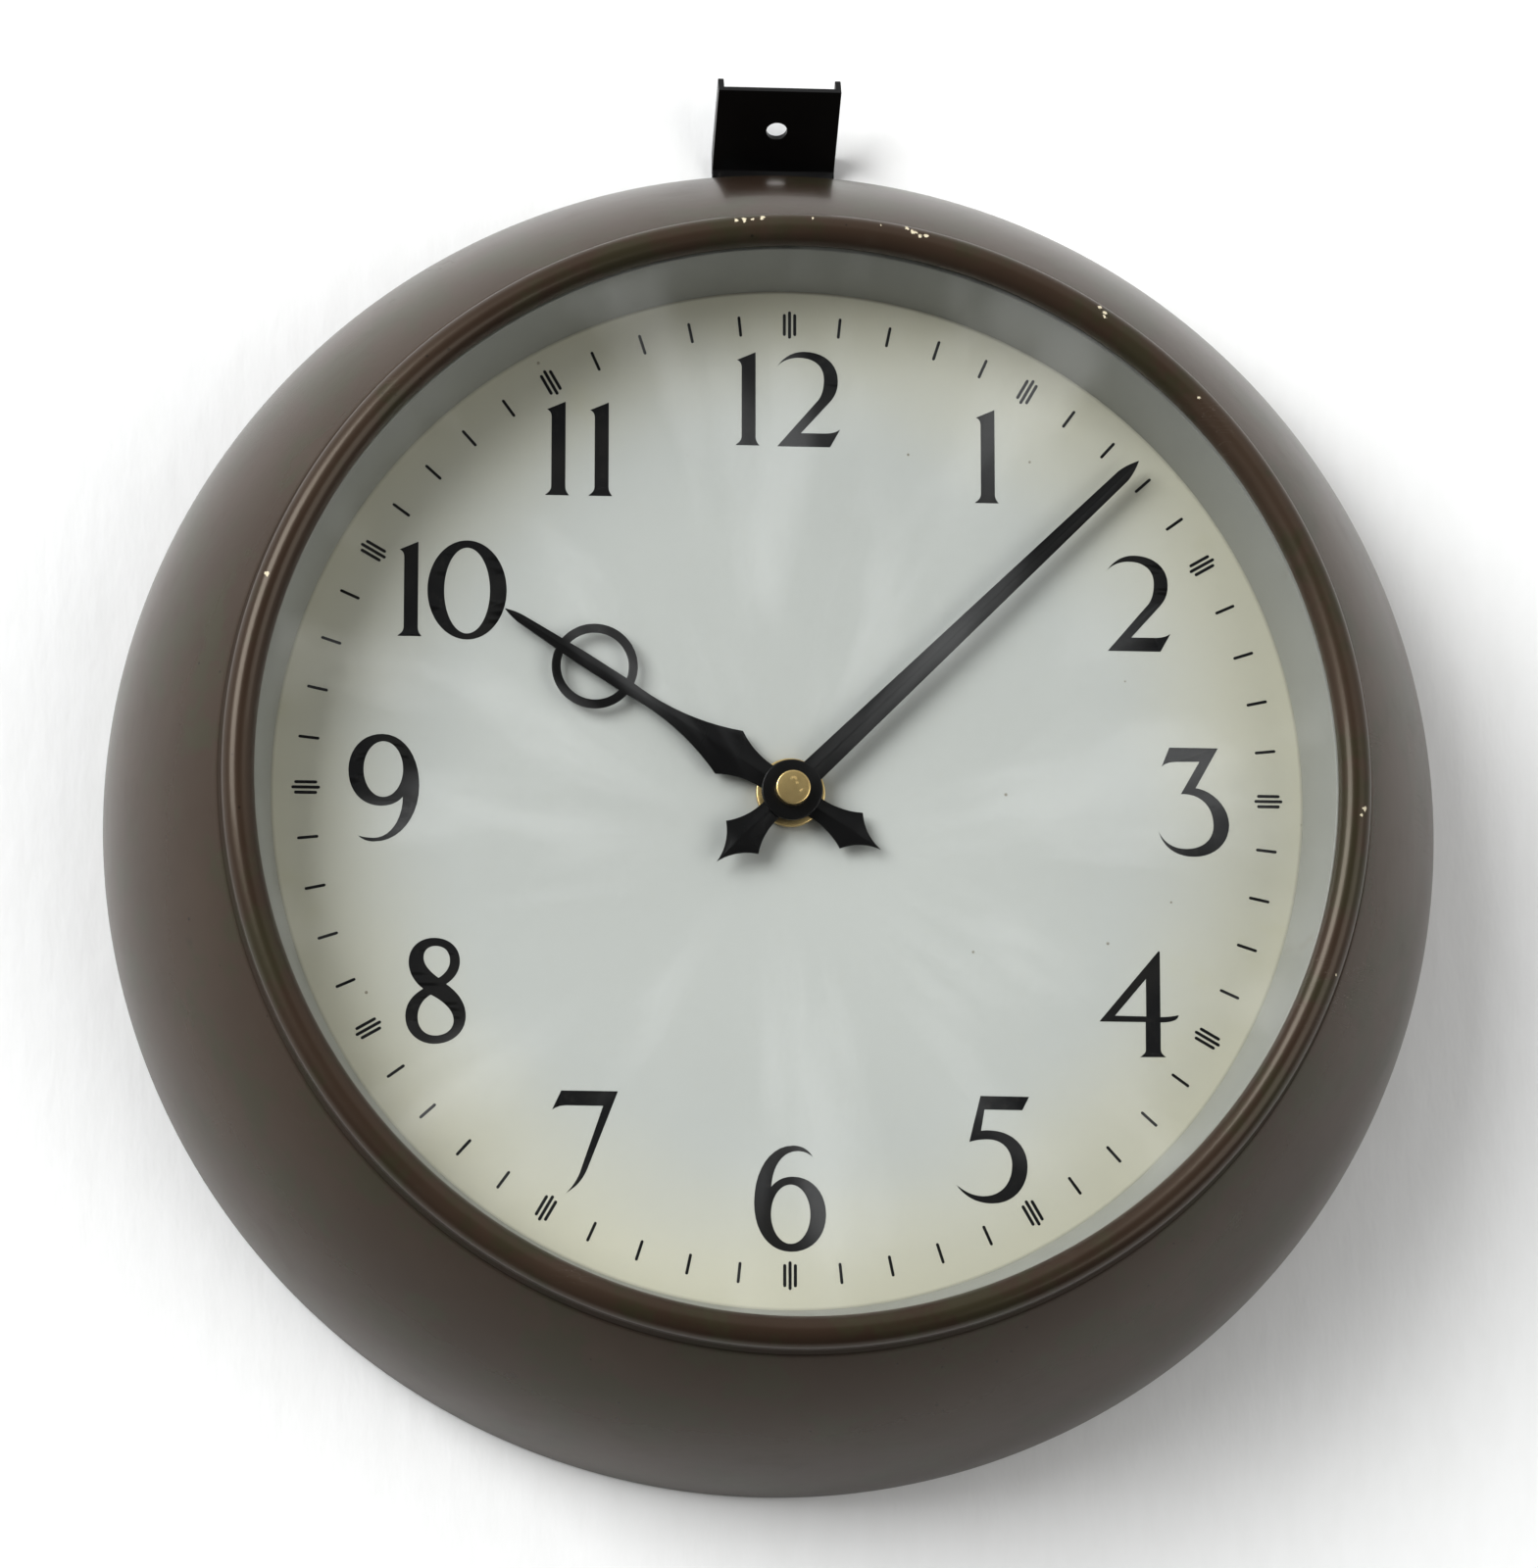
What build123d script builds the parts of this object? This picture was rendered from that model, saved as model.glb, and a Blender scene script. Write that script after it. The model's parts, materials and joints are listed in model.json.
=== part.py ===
from build123d import *
import os
from math import cos, pi, radians, sin, sqrt, tan

# Round surface-mounted secondary clock: a spun steel case with a beaded bezel,
# driven by an impulse movement that advances the hands in half-minute steps.
#
# Every piece is drawn on the bench with the clock lying on its back:
# X to the right, Y towards twelve, Z out of the wall.  hang() stands it up at
# the end, so that in the written files +Z is up and -Y faces the room.

# ---- driving dimensions, mm ----
RIM_RADIUS = 159.0          # case at the wall
SIDE_ARC = 133.5            # radius of the case side's arc, in section
SIDE_CENTRE_R = 25.91       # centre of that arc, from the clock's axis
SIDE_CENTRE_Z = -10.5       # and from the wall
SHEET = 1.0                 # case and bezel sheet
NECK_RADIUS = 131.2         # inside of the case's front opening
NECK_FRONT = 70.1           # where the side turns in to the neck
NECK_BACK = 64.0

BEZEL_INNER = 124.1         # sight opening of the bezel
BEZEL_OUTER = 131.6
BEZEL_LIP = 75.0            # height of the lip over the glass
BEZEL_CREST = 78.7

GLASS_RADIUS = 129.0
GLASS_BACK = 70.8
GLASS_THICK = 3.0

DIAL_FACE = 48.15
DIAL_THICK = 1.0
DIAL_RADIUS = 124.5
DIAL_SIGHT = 120.0          # dial radius left showing by the sight ring

BACK_FACE = 3.0             # rear face of the back plate
BACK_THICK = 1.5
BACK_RADIUS = 157.0

LUG_WIDTH = 29.6
LUG_SHEET = 1.5
LUG_REACH = 24.6            # length of the leaning face
LUG_LEAN = 35.0             # its rise above horizontal, degrees
LUG_FOOT = 132.0
LUG_BEND = 161.9
LUG_HOLE = 2.5
LUG_FLANGE = 4.5

REAR_PLATE = 14.0           # movement plates
FRONT_PLATE = 36.0
PLATE_THICK = 1.5
PLATE_X = 42.0
PLATE_LOW = -56.0
PLATE_HIGH = 50.0

RATCHET_TEETH = 120
RATCHET_RADIUS = 24.0
RATCHET_DEPTH = 0.8
RATCHET_Z = 24.0
RATCHET_THICK = 1.0

GEAR_MODULE = 0.5
CANNON_TEETH = 15
MINUTE_WHEEL_TEETH = 45
MINUTE_PINION_TEETH = 12
HOUR_WHEEL_TEETH = 48
STUD = (0.0, -15.0)         # minute wheel stud

ARBOR_RADIUS = 1.5
RUNNING_GAP = 0.05
ARMATURE_PIVOT = (32.0, -27.0)
PAWL_PIVOT = (32.0, 26.5)
CLICK_PIVOT = (-33.0, -18.0)

PAWL_LIFT = -1.25           # both pawls are drawn riding just clear of the crests:
CLICK_LIFT = 2.3            # turn that lifts each out of its tooth, degrees

HOUR_HAND_ANGLE = -302.4    # shown time, turned from twelve
MINUTE_HAND_ANGLE = -45.7
HOUR_HAND_Z = 51.0
MINUTE_HAND_Z = 52.9
HAND_SHEET = 0.6
BOSS_THICK = 1.3
ARBOR_END = 57.0
NUT_TOP = 58.1

CORNER_POSTS = [(-34, -48), (34, -48), (-34, 42), (34, 42)]
BLOCK_FIXINGS = [(48, -78), (76, -78)]
TERMINALS = [(56, -78), (68, -78)]
YOKE_FIXINGS = [(-12, -51.5), (12, -51.5)]
OUT = "parts"


# ---- shared shapes ----
def disc(radius, z0, z1, at=(0, 0)):
    """Solid cylinder between two heights."""
    return Pos(at[0], at[1], z0) * extrude(Circle(radius), z1 - z0)


def ring(outer, inner, z0, z1, at=(0, 0)):
    """Plain washer between two heights."""
    return Pos(at[0], at[1], z0) * extrude(Circle(outer) - Circle(inner), z1 - z0)


def block(x0, x1, y0, y1, z0, z1):
    """Box from its six limits."""
    size = (x1 - x0, y1 - y0, z1 - z0)
    centre = ((x0 + x1) / 2, (y0 + y1) / 2, (z0 + z1) / 2)
    return Pos(*centre) * Box(*size)


def turned(outline):
    """Spin a closed section, drawn as (radius, height), about the clock's axis."""
    return revolve(Plane.XZ * make_face(outline), Axis.Z)


def spun(points):
    """Spin a section with straight sides."""
    return turned(Polyline(*points, close=True))


def plate(points, z0, z1):
    """Flat blank of any straight-sided outline."""
    return Pos(0, 0, z0) * extrude(make_face(Polyline(*points, close=True)), z1 - z0)


def around(piece, angles):
    """Copies of one piece turned about the clock's axis."""
    return [Rot(0, 0, angle) * piece for angle in angles]


def at_each(piece, places):
    """Copies of one piece at several (x, y) places."""
    return [Pos(x, y, 0) * piece for x, y in places]


def pan_screw(head, shank, length, head_height, slot=0.8):
    """Slotted screw, head down at height 0, shank pointing to +Z."""
    top = head_height
    screw = disc(head, 0, top) + disc(shank, top, top + length)
    screw = fillet(screw.edges().group_by(Axis.Z)[0], head_height * 0.45)
    return screw - block(-head, head, -slot / 2, slot / 2, -0.1, head_height * 0.4)


def side_radius(z, inside=0.0):
    """Radius of the case side at a height above the wall."""
    return SIDE_CENTRE_R + sqrt((SIDE_ARC - inside) ** 2 - (z - SIDE_CENTRE_Z) ** 2)


# ---- case ----
def case_shell():
    """Domed side, front edge turned in to a short neck, notch for the lug."""
    join = 66.0
    neck_wall = NECK_RADIUS + SHEET
    outline = [
        ThreePointArc((side_radius(0), 0), (side_radius(35), 35),
                      (side_radius(NECK_FRONT), NECK_FRONT)),
        Line((side_radius(NECK_FRONT), NECK_FRONT), (NECK_RADIUS, NECK_FRONT)),
        Line((NECK_RADIUS, NECK_FRONT), (NECK_RADIUS, NECK_BACK)),
        Line((NECK_RADIUS, NECK_BACK), (neck_wall, NECK_BACK)),
        Line((neck_wall, NECK_BACK), (neck_wall, join)),
        Line((neck_wall, join), (side_radius(join, SHEET), join)),
        ThreePointArc((side_radius(join, SHEET), join), (side_radius(33, SHEET), 33),
                      (side_radius(0, SHEET), 0)),
        Line((side_radius(0, SHEET), 0), (side_radius(0), 0)),
    ]
    half = LUG_WIDTH / 2 + 0.5
    return turned(outline) - block(-half, half, 145, 165, -1, BACK_FACE + 2.4)


def back_plate():
    """Sheet disc set just inside the rim, pierced for its fixings."""
    body = disc(BACK_RADIUS, BACK_FACE, BACK_FACE + BACK_THICK)
    top = BACK_FACE + BACK_THICK + 1
    cut = around(disc(2.1, 0, top, (148, 0)), (45, 135, 225, 315))
    cut += at_each(disc(2.1, 0, top), CORNER_POSTS)
    cut += around(disc(2.1, 0, top, (0, 113)), (60, 180, 300))
    cut += at_each(disc(2.0, 0, top), [(-8, 142), (8, 142)])
    cut += at_each(disc(1.6, 0, top), BLOCK_FIXINGS)
    cut.append(disc(7.0, 0, top, (0, -78)))
    return body - cut


def case_lugs():
    """Four angle tabs welded inside the case to take the back screws."""
    foot = block(142, 155.0, -9, 9, BACK_FACE + BACK_THICK, BACK_FACE + BACK_THICK + 1.5)
    leg = block(153.5, 155.0, -9, 9, BACK_FACE + BACK_THICK + 1.5, 15)
    tab = foot + leg - disc(1.95, 0, 20, (148, 0))
    return around(tab, (45, 135, 225, 315))


def back_screws():
    screw = Pos(148, 0, 1.0) * pan_screw(3.6, 1.9, 7.5, 2.0)
    return around(screw, (45, 135, 225, 315))


def hanging_lug():
    """Folded tab: foot behind the back plate, face leaning out over the rim."""
    rise = sin(radians(LUG_LEAN))
    run = cos(radians(LUG_LEAN))
    front = BACK_FACE
    tip = (LUG_BEND + LUG_REACH * rise, front + LUG_REACH * run)
    back = (tip[0] + LUG_SHEET * run, tip[1] - LUG_SHEET * rise)
    knee = LUG_BEND + LUG_SHEET * (1 - rise) / run
    web = [(LUG_FOOT, front), (LUG_BEND, front), tip, back,
           (knee, front - LUG_SHEET), (LUG_FOOT, front - LUG_SHEET)]
    deep = (tip[0] + LUG_FLANGE * run, tip[1] - LUG_FLANGE * rise)
    heel = (LUG_BEND + LUG_FLANGE * run + 1.2, front - LUG_SHEET - 0.9)
    cheek = [(LUG_BEND, front), tip, deep, heel, (knee - 1.5, front - LUG_SHEET - 0.9)]
    half = LUG_WIDTH / 2
    body = side_blank(web, -half, half)
    body += side_blank(cheek, half - 1.4, half)
    body += side_blank(cheek, -half, 1.4 - half)
    body -= at_each(disc(2.0, 0, 10), [(-8, 142), (8, 142)])
    return body - lug_axis() * Pos(0, 0, -5) * extrude(Circle(LUG_HOLE), 10)


def side_blank(points, x0, x1):
    """Outline drawn as (y, z), thickened along X."""
    face = make_face(Polyline(*points, close=True))
    return Pos(x0, 0, 0) * (Plane.YZ * extrude(face, x1 - x0))


def lug_axis():
    """Place of the lug's hole, its Z along the hole and out of the front face."""
    rise = sin(radians(LUG_LEAN))
    run = cos(radians(LUG_LEAN))
    half = LUG_REACH / 2
    return Pos(0, LUG_BEND + half * rise, BACK_FACE + half * run) * Rot(90 - LUG_LEAN, 0, 0)


def lug_rivets():
    low = BACK_FACE - LUG_SHEET
    high = BACK_FACE + BACK_THICK
    rivet = disc(2.0, low, high) + disc(3.2, low - 1.1, low) + disc(3.2, high, high + 1.1)
    return at_each(rivet, [(-8, 142), (8, 142)])


def cable_grommet():
    """Rubber bush with a groove that grips the back plate."""
    low = BACK_FACE
    high = BACK_FACE + BACK_THICK
    points = [(4, low - 1.5), (8.2, low - 1.5), (9, low - 0.8), (9, low), (7, low),
              (7, high), (9, high), (9, high + 1.2), (8, high + 2), (4, high + 2)]
    return Pos(0, -78, 0) * spun(points)


# ---- bezel, glass and sight ring ----
def bezel():
    """Half-round bead, its foot flared to meet the case, on a skirt inside the neck."""
    middle = (BEZEL_INNER + BEZEL_OUTER) / 2 - 0.1
    skirt = NECK_RADIUS - 0.1
    low = NECK_FRONT + 0.4
    foot = side_radius(NECK_FRONT)
    outline = [
        Line((BEZEL_INNER, BEZEL_LIP - 0.8), (BEZEL_INNER, BEZEL_LIP)),
        ThreePointArc((BEZEL_INNER, BEZEL_LIP), (middle, BEZEL_CREST), (BEZEL_OUTER, 74.4)),
        ThreePointArc((BEZEL_OUTER, 74.4), (BEZEL_OUTER + 0.12, 72.3), (foot, low)),
        Line((foot, low), (skirt, low)),
        Line((skirt, low), (skirt, 64.6)),
        Line((skirt, 64.6), (skirt - SHEET, 64.6)),
        Line((skirt - SHEET, 64.6), (skirt - SHEET, BEZEL_LIP - 0.8)),
        Line((skirt - SHEET, BEZEL_LIP - 0.8), (BEZEL_INNER, BEZEL_LIP - 0.8)),
    ]
    return turned(outline)


def bezel_clips():
    """Four spring hooks under the skirt that snap behind the case's neck."""
    points = [(129.3, 62.6), (132.4, 62.6), (133.0, 63.3), (132.6, 63.7), (130.1, 63.5),
              (130.1, 69.5), (129.3, 69.5)]
    hook = revolve(Plane.XZ * make_face(Polyline(*points, close=True)), Axis.Z, 6)
    return around(hook, (42, 132, 222, 312))


def glass():
    body = disc(GLASS_RADIUS, GLASS_BACK, GLASS_BACK + GLASS_THICK)
    return chamfer(body.edges(), 0.3)


def glass_gasket():
    top = GLASS_BACK + GLASS_THICK
    return ring(129.2, 125.6, top, BEZEL_LIP - 0.8)


def sight_ring():
    """Cone from the dial to the glass, flanged where the glass sits."""
    points = [(DIAL_SIGHT, DIAL_FACE), (DIAL_SIGHT + 0.9, DIAL_FACE), (125.0, 70.0),
              (129.0, 70.0), (129.0, GLASS_BACK), (124.3, GLASS_BACK)]
    return spun(points)


# ---- dial ----
def dial():
    body = disc(DIAL_RADIUS, DIAL_FACE - DIAL_THICK, DIAL_FACE)
    return body - disc(5.0, DIAL_FACE - 2, DIAL_FACE + 1)


def dial_feet():
    foot = disc(2.0, 32, DIAL_FACE - DIAL_THICK) + disc(4.0, 46.15, DIAL_FACE - DIAL_THICK)
    return around(Pos(0, 113, 0) * foot, (60, 180, 300))


def dial_posts():
    """Three posts from the back plate, bored for the dial's feet."""
    post = disc(5.0, BACK_FACE + BACK_THICK, 44) - disc(2.05, 28, 45) - disc(2.0, 4, 13)
    post -= Pos(0, 0, 38) * Rot(90, 0, 0) * extrude(Circle(1.5), 6)
    return around(Pos(0, 113, 0) * post, (60, 180, 300))


def dial_set_screws():
    """Headless screws that pinch the feet in their posts."""
    screw = Pos(0, -2.1, 38) * Rot(90, 0, 0) * extrude(Circle(1.45), 3.2)
    return around(Pos(0, 113, 0) * screw, (60, 180, 300))


def dial_post_screws():
    screw = Pos(0, 113, 1.0) * pan_screw(3.6, 1.95, 8.5, 2.0)
    return around(screw, (60, 180, 300))


# ---- movement frame ----
def movement_blank(z0, holes):
    """Rounded brass plate with round holes given as (x, y, radius)."""
    body = block(-PLATE_X, PLATE_X, PLATE_LOW, PLATE_HIGH, z0, z0 + PLATE_THICK)
    body = fillet(body.edges().filter_by(Axis.Z), 6)
    return body - [disc(r, z0 - 1, z0 + 3, (x, y)) for x, y, r in holes]


def pivot_holes(post_hole):
    holes = [(x, y, post_hole) for x, y in CORNER_POSTS]
    holes.append((0, 0, 3.0))
    holes.append((ARMATURE_PIVOT[0], ARMATURE_PIVOT[1], 1.25))
    holes.append((CLICK_PIVOT[0], CLICK_PIVOT[1], 1.0))
    return holes


def rear_plate():
    holes = pivot_holes(2.0) + [(x, y, 1.5) for x, y in YOKE_FIXINGS]
    return movement_blank(REAR_PLATE, holes)


def front_plate():
    """The front plate has a window over the coils and a hole for the stud."""
    body = movement_blank(FRONT_PLATE, pivot_holes(1.5) + [(STUD[0], STUD[1], 1.5)])
    return body - block(-20, 20, -46, -34, 30, 40)


def movement_posts():
    post = disc(5.0, BACK_FACE + BACK_THICK, REAR_PLATE) - disc(2.0, 4, 15)
    return at_each(post, CORNER_POSTS)


def movement_post_screws():
    return at_each(Pos(0, 0, 1.0) * pan_screw(3.6, 1.95, 6.0, 2.0), CORNER_POSTS)


def pillars():
    """Turned pillars; the lower stud enters the post, the top is tapped."""
    body = disc(3.5, REAR_PLATE + PLATE_THICK, FRONT_PLATE) + disc(1.95, 10, 15.5)
    body -= disc(1.5, 30, 37)
    return at_each(body, CORNER_POSTS)


def pillar_screws():
    top = FRONT_PLATE + PLATE_THICK + 1.5
    screw = Pos(0, 0, top) * Rot(180, 0, 0) * pan_screw(2.8, 1.45, 6.0, 1.5)
    return at_each(screw, CORNER_POSTS)


def arbor_bushes():
    """Flanged bushes for the centre arbor, one in each plate."""
    bore = ARBOR_RADIUS + RUNNING_GAP
    rear = ring(3.0, bore, REAR_PLATE, REAR_PLATE + PLATE_THICK)
    rear += ring(4.5, bore, REAR_PLATE + PLATE_THICK, REAR_PLATE + 2.7)
    front = ring(3.0, bore, FRONT_PLATE, FRONT_PLATE + PLATE_THICK)
    front += ring(4.5, bore, FRONT_PLATE - 1.2, FRONT_PLATE)
    return [rear, front]


# ---- wheels ----
def gear(teeth, z0, z1, bore, turn, at=(0, 0), thick=0.40):
    """Wheel with ogive teeth: a tooth spans thick of the pitch at the pitch circle."""
    pitch_r = GEAR_MODULE * teeth / 2
    step = 2 * pi / teeth
    levels = [(-1.2, thick * 0.54), (0.0, thick / 2), (0.55, thick * 0.36), (0.9, thick * 0.14)]
    points = []
    for tooth in range(teeth):
        middle = radians(turn) + tooth * step
        flank = [(pitch_r + rise * GEAR_MODULE, half * step) for rise, half in levels]
        points += [(r * cos(middle - a), r * sin(middle - a)) for r, a in flank]
        points += [(r * cos(middle + a), r * sin(middle + a)) for r, a in reversed(flank)]
    body = plate(points, z0, z1) - disc(bore, z0 - 1, z1 + 1)
    return Pos(at[0], at[1], 0) * body


def ratchet_wheel():
    """Saw-toothed wheel: steep faces look against the clockwise turn."""
    step = 2 * pi / RATCHET_TEETH
    root = RATCHET_RADIUS - RATCHET_DEPTH
    points = []
    for tooth in range(RATCHET_TEETH):
        start = pi / 2 + tooth * step
        points.append((RATCHET_RADIUS * cos(start), RATCHET_RADIUS * sin(start)))
        points.append((root * cos(start + 0.02 * step), root * sin(start + 0.02 * step)))
    top = RATCHET_Z + RATCHET_THICK
    body = plate(points, RATCHET_Z, top)
    body -= [disc(5.5, RATCHET_Z - 1, top + 1, spot) for spot in polar_places(13.5, 5, 18)]
    body += ring(4.5, ARBOR_RADIUS, top, top + 3)
    return body - disc(ARBOR_RADIUS, RATCHET_Z - 1, top + 4)


def polar_places(radius, count, start):
    """Evenly spaced (x, y) places on a circle."""
    angles = [radians(start + 360 * i / count) for i in range(count)]
    return [(radius * cos(a), radius * sin(a)) for a in angles]


def centre_arbor():
    """Shaft through both plates, with a shoulder, ending in the hand thread."""
    return disc(ARBOR_RADIUS, 11.5, ARBOR_END) + disc(2.6, REAR_PLATE + 2.8, RATCHET_Z)


def arbor_collar():
    """Retaining collar behind the rear plate."""
    return ring(3.2, ARBOR_RADIUS, REAR_PLATE - 1.9, REAR_PLATE - 0.1)


def cannon_pinion():
    """Tube that carries the minute hand, with the motion work's first pinion."""
    low = FRONT_PLATE + PLATE_THICK + 0.3
    body = gear(CANNON_TEETH, low, low + 3.4, ARBOR_RADIUS, 90)
    return body + ring(2.4, ARBOR_RADIUS, low, MINUTE_HAND_Z)


def minute_wheel():
    low = FRONT_PLATE + PLATE_THICK + 0.9
    wheel = gear(MINUTE_WHEEL_TEETH, low, low + 1.6, 1.05, 90, STUD)
    pinion = gear(MINUTE_PINION_TEETH, low + 1.6, low + 6.0, 1.05, 90, STUD)
    return wheel + pinion


def minute_wheel_stud():
    low = FRONT_PLATE + PLATE_THICK
    body = disc(1.0, low, low + 8.6, STUD) + disc(1.45, low - 1.5, low, STUD)
    return body + disc(2.2, low, low + 0.8, STUD)


def stud_collar():
    """Washer pressed on the stud to keep the minute wheel on."""
    low = FRONT_PLATE + PLATE_THICK + 7.1
    return ring(2.2, 1.0, low, low + 1.0, STUD)


def hour_wheel():
    """Wheel and pipe that ride on the cannon pinion's tube."""
    bore = 2.4 + RUNNING_GAP
    low = FRONT_PLATE + PLATE_THICK + 4.2
    gap = 180.0 / HOUR_WHEEL_TEETH
    wheel = gear(HOUR_WHEEL_TEETH, low, low + 1.6, bore, 270 + gap)
    return wheel + ring(4.0, bore, low, HOUR_HAND_Z + HAND_SHEET)


# ---- hands ----
def mirrored(half):
    """Close a half outline, drawn from top to bottom with x at least 0."""
    edges = half + [mirror(edge, Plane.YZ) for edge in half]
    return make_face(edges)


def fishtail(waist, corner, corner_y, tip_y):
    """Flared tail: concave to the corner, then concave to its point."""
    return [
        ThreePointArc(waist, (waist[0] * 0.98 + 0.35, (waist[1] + corner_y) / 2 + 0.6),
                      (corner, corner_y)),
        ThreePointArc((corner, corner_y), (corner * 0.42, (corner_y + tip_y) / 2 + 1.1),
                      (0, tip_y)),
    ]


def minute_hand():
    half = [
        ThreePointArc((0, 114.1), (1.05, 111.5), (1.6, 108.9)),
        Line((1.6, 108.9), (2.85, 6.0)),
        Line((2.85, 6.0), (2.6, -6.0)),
    ]
    half += fishtail((2.6, -6.0), 5.35, -16.0, -24.2)
    blade = extrude(mirrored(half), HAND_SHEET) - disc(ARBOR_RADIUS, -1, 2)
    return Rot(0, 0, MINUTE_HAND_ANGLE) * Pos(0, 0, MINUTE_HAND_Z) * blade


def hour_hand():
    """Spade-shouldered hand with a ring near its point."""
    half = [
        ThreePointArc((0, 78.7), (0.75, 76.2), (1.05, 73.4)),
        Line((1.05, 73.4), (1.65, 58.0)),
        Line((1.65, 58.0), (1.65, 45.0)),
        ThreePointArc((1.65, 45.0), (2.55, 28.0), (6.0, 17.0)),
        ThreePointArc((6.0, 17.0), (3.6, 11.5), (3.0, 5.0)),
        Line((3.0, 5.0), (2.6, -6.0)),
    ]
    half += fishtail((2.6, -6.0), 5.0, -16.6, -24.6)
    blade = extrude(mirrored(half), HAND_SHEET)
    blade += Pos(0, 54.0, 0) * extrude(Circle(10.0) - Circle(7.9), HAND_SHEET)
    blade += disc(6.2, 0, HAND_SHEET)
    blade -= disc(4.0, -1, 2)
    return Rot(0, 0, HOUR_HAND_ANGLE) * Pos(0, 0, HOUR_HAND_Z) * blade


def hour_collet():
    """Brass collet pressed on the hour pipe behind the hour hand."""
    return ring(8.0, 4.0, HOUR_HAND_Z - 1.8, HOUR_HAND_Z)


def minute_boss():
    """Black boss riveted on the minute hand."""
    low = MINUTE_HAND_Z + HAND_SHEET
    body = disc(7.1, low, low + BOSS_THICK)
    body = chamfer(body.edges().group_by(Axis.Z)[-1], 0.35)
    return body - disc(ARBOR_RADIUS, low - 1, low + 3)


def hand_nut():
    """Round brass cap nut on the arbor's end."""
    low = MINUTE_HAND_Z + HAND_SHEET + BOSS_THICK
    body = disc(4.0, low, NUT_TOP)
    body = chamfer(body.edges().group_by(Axis.Z)[-1], 0.3)
    return body - disc(ARBOR_RADIUS, low - 1, ARBOR_END)


# ---- electromagnet and pawls ----
COIL_X = 11.0
COIL_Z = 26.0
POLE_Y = -30.0
YOKE_Y = -49.5
WIRE_RADIUS = 0.8


def along_y(radius, y0, y1, x, z):
    """Rod lying along Y."""
    return Pos(x, y0, z) * Rot(-90, 0, 0) * extrude(Circle(radius), y1 - y0)


def coil_cores():
    return [along_y(3.5, YOKE_Y, POLE_Y, x, COIL_Z) for x in (-COIL_X, COIL_X)]


def yoke():
    """Bar that joins the cores, held to the rear plate by its feet."""
    bar = block(-19, 19, YOKE_Y - 4, YOKE_Y, 20, 32)
    feet = block(-16, -8, YOKE_Y - 4, YOKE_Y, 15.5, 20) + block(8, 16, YOKE_Y - 4, YOKE_Y, 15.5, 20)
    return bar + feet - at_each(disc(1.45, 15, 22), YOKE_FIXINGS)


def yoke_screws():
    screw = Pos(0, 0, REAR_PLATE - 1.5) * pan_screw(2.6, 1.4, 7.0, 1.5)
    return at_each(screw, YOKE_FIXINGS)


def bobbins():
    """Moulded reels, one on each core."""
    reels = []
    for x in (-COIL_X, COIL_X):
        reel = along_y(4.6, YOKE_Y + 0.1, POLE_Y - 1.4, x, COIL_Z)
        reel += along_y(8.3, YOKE_Y + 0.1, YOKE_Y + 1.2, x, COIL_Z)
        reel += along_y(8.3, POLE_Y - 2.5, POLE_Y - 1.4, x, COIL_Z)
        reels.append(reel - along_y(3.55, YOKE_Y - 1, POLE_Y, x, COIL_Z))
    return reels


def windings():
    rows = []
    for x in (-COIL_X, COIL_X):
        coil = along_y(7.6, YOKE_Y + 1.2, POLE_Y - 2.5, x, COIL_Z)
        rows.append(coil - along_y(4.6, YOKE_Y, POLE_Y, x, COIL_Z))
    return rows


def armature():
    """Iron bar over the poles with the upright arm that carries the pawl."""
    px, py = ARMATURE_PIVOT
    bar = block(-19, px + 4, py - 1.6, py + 1.6, 21, 31)
    hub = disc(3.6, 18, 33, ARMATURE_PIVOT)
    arm = block(px - 2, px + 2, py, PAWL_PIVOT[1] + 3, 28, 30)
    return bar + hub + arm - disc(1.2, 10, 40, ARMATURE_PIVOT) - disc(0.85, 27, 31, PAWL_PIVOT)


def armature_arbor():
    body = disc(1.2, REAR_PLATE + 0.1, FRONT_PLATE + PLATE_THICK, ARMATURE_PIVOT)
    body += disc(2.2, REAR_PLATE + PLATE_THICK + 0.1, 18, ARMATURE_PIVOT)
    return body + disc(2.2, 33, FRONT_PLATE - 0.1, ARMATURE_PIVOT)


def pawl_stud():
    """Shouldered rivet through the arm; the drive pawl turns on it."""
    body = disc(0.85, 22.6, 30, PAWL_PIVOT) + disc(1.8, 30, 30.8, PAWL_PIVOT)
    return body + disc(1.8, 22.2, 22.9, PAWL_PIVOT) + disc(1.6, 26.4, 28, PAWL_PIVOT)


def drive_pawl():
    """Long finger that hooks over the top of the ratchet wheel."""
    px, py = PAWL_PIVOT
    hub = disc(2.8, 23.2, 26.2, PAWL_PIVOT)
    finger = plate([(px, py - 1.1), (px, py + 1.1), (3.0, 26.2), (-1.5, 25.4), (-1.45, 24.3),
                    (-0.1, 23.45), (-0.1, 24.5), (1.5, 24.8)], 23.9, 25.1)
    body = hub + finger - disc(0.9, 20, 30, PAWL_PIVOT)
    return turned_about(body, PAWL_PIVOT, PAWL_LIFT)


def turned_about(piece, pivot, angle):
    """Piece turned about an axis along Z through (x, y)."""
    return Pos(*pivot, 0) * Rot(0, 0, angle) * Pos(-pivot[0], -pivot[1], 0) * piece


def click_arbor():
    body = disc(0.95, REAR_PLATE + 0.1, FRONT_PLATE + PLATE_THICK, CLICK_PIVOT)
    body += disc(1.8, REAR_PLATE + PLATE_THICK, 21.8, CLICK_PIVOT)
    return body + disc(1.8, 27.2, FRONT_PLATE, CLICK_PIVOT)


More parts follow.
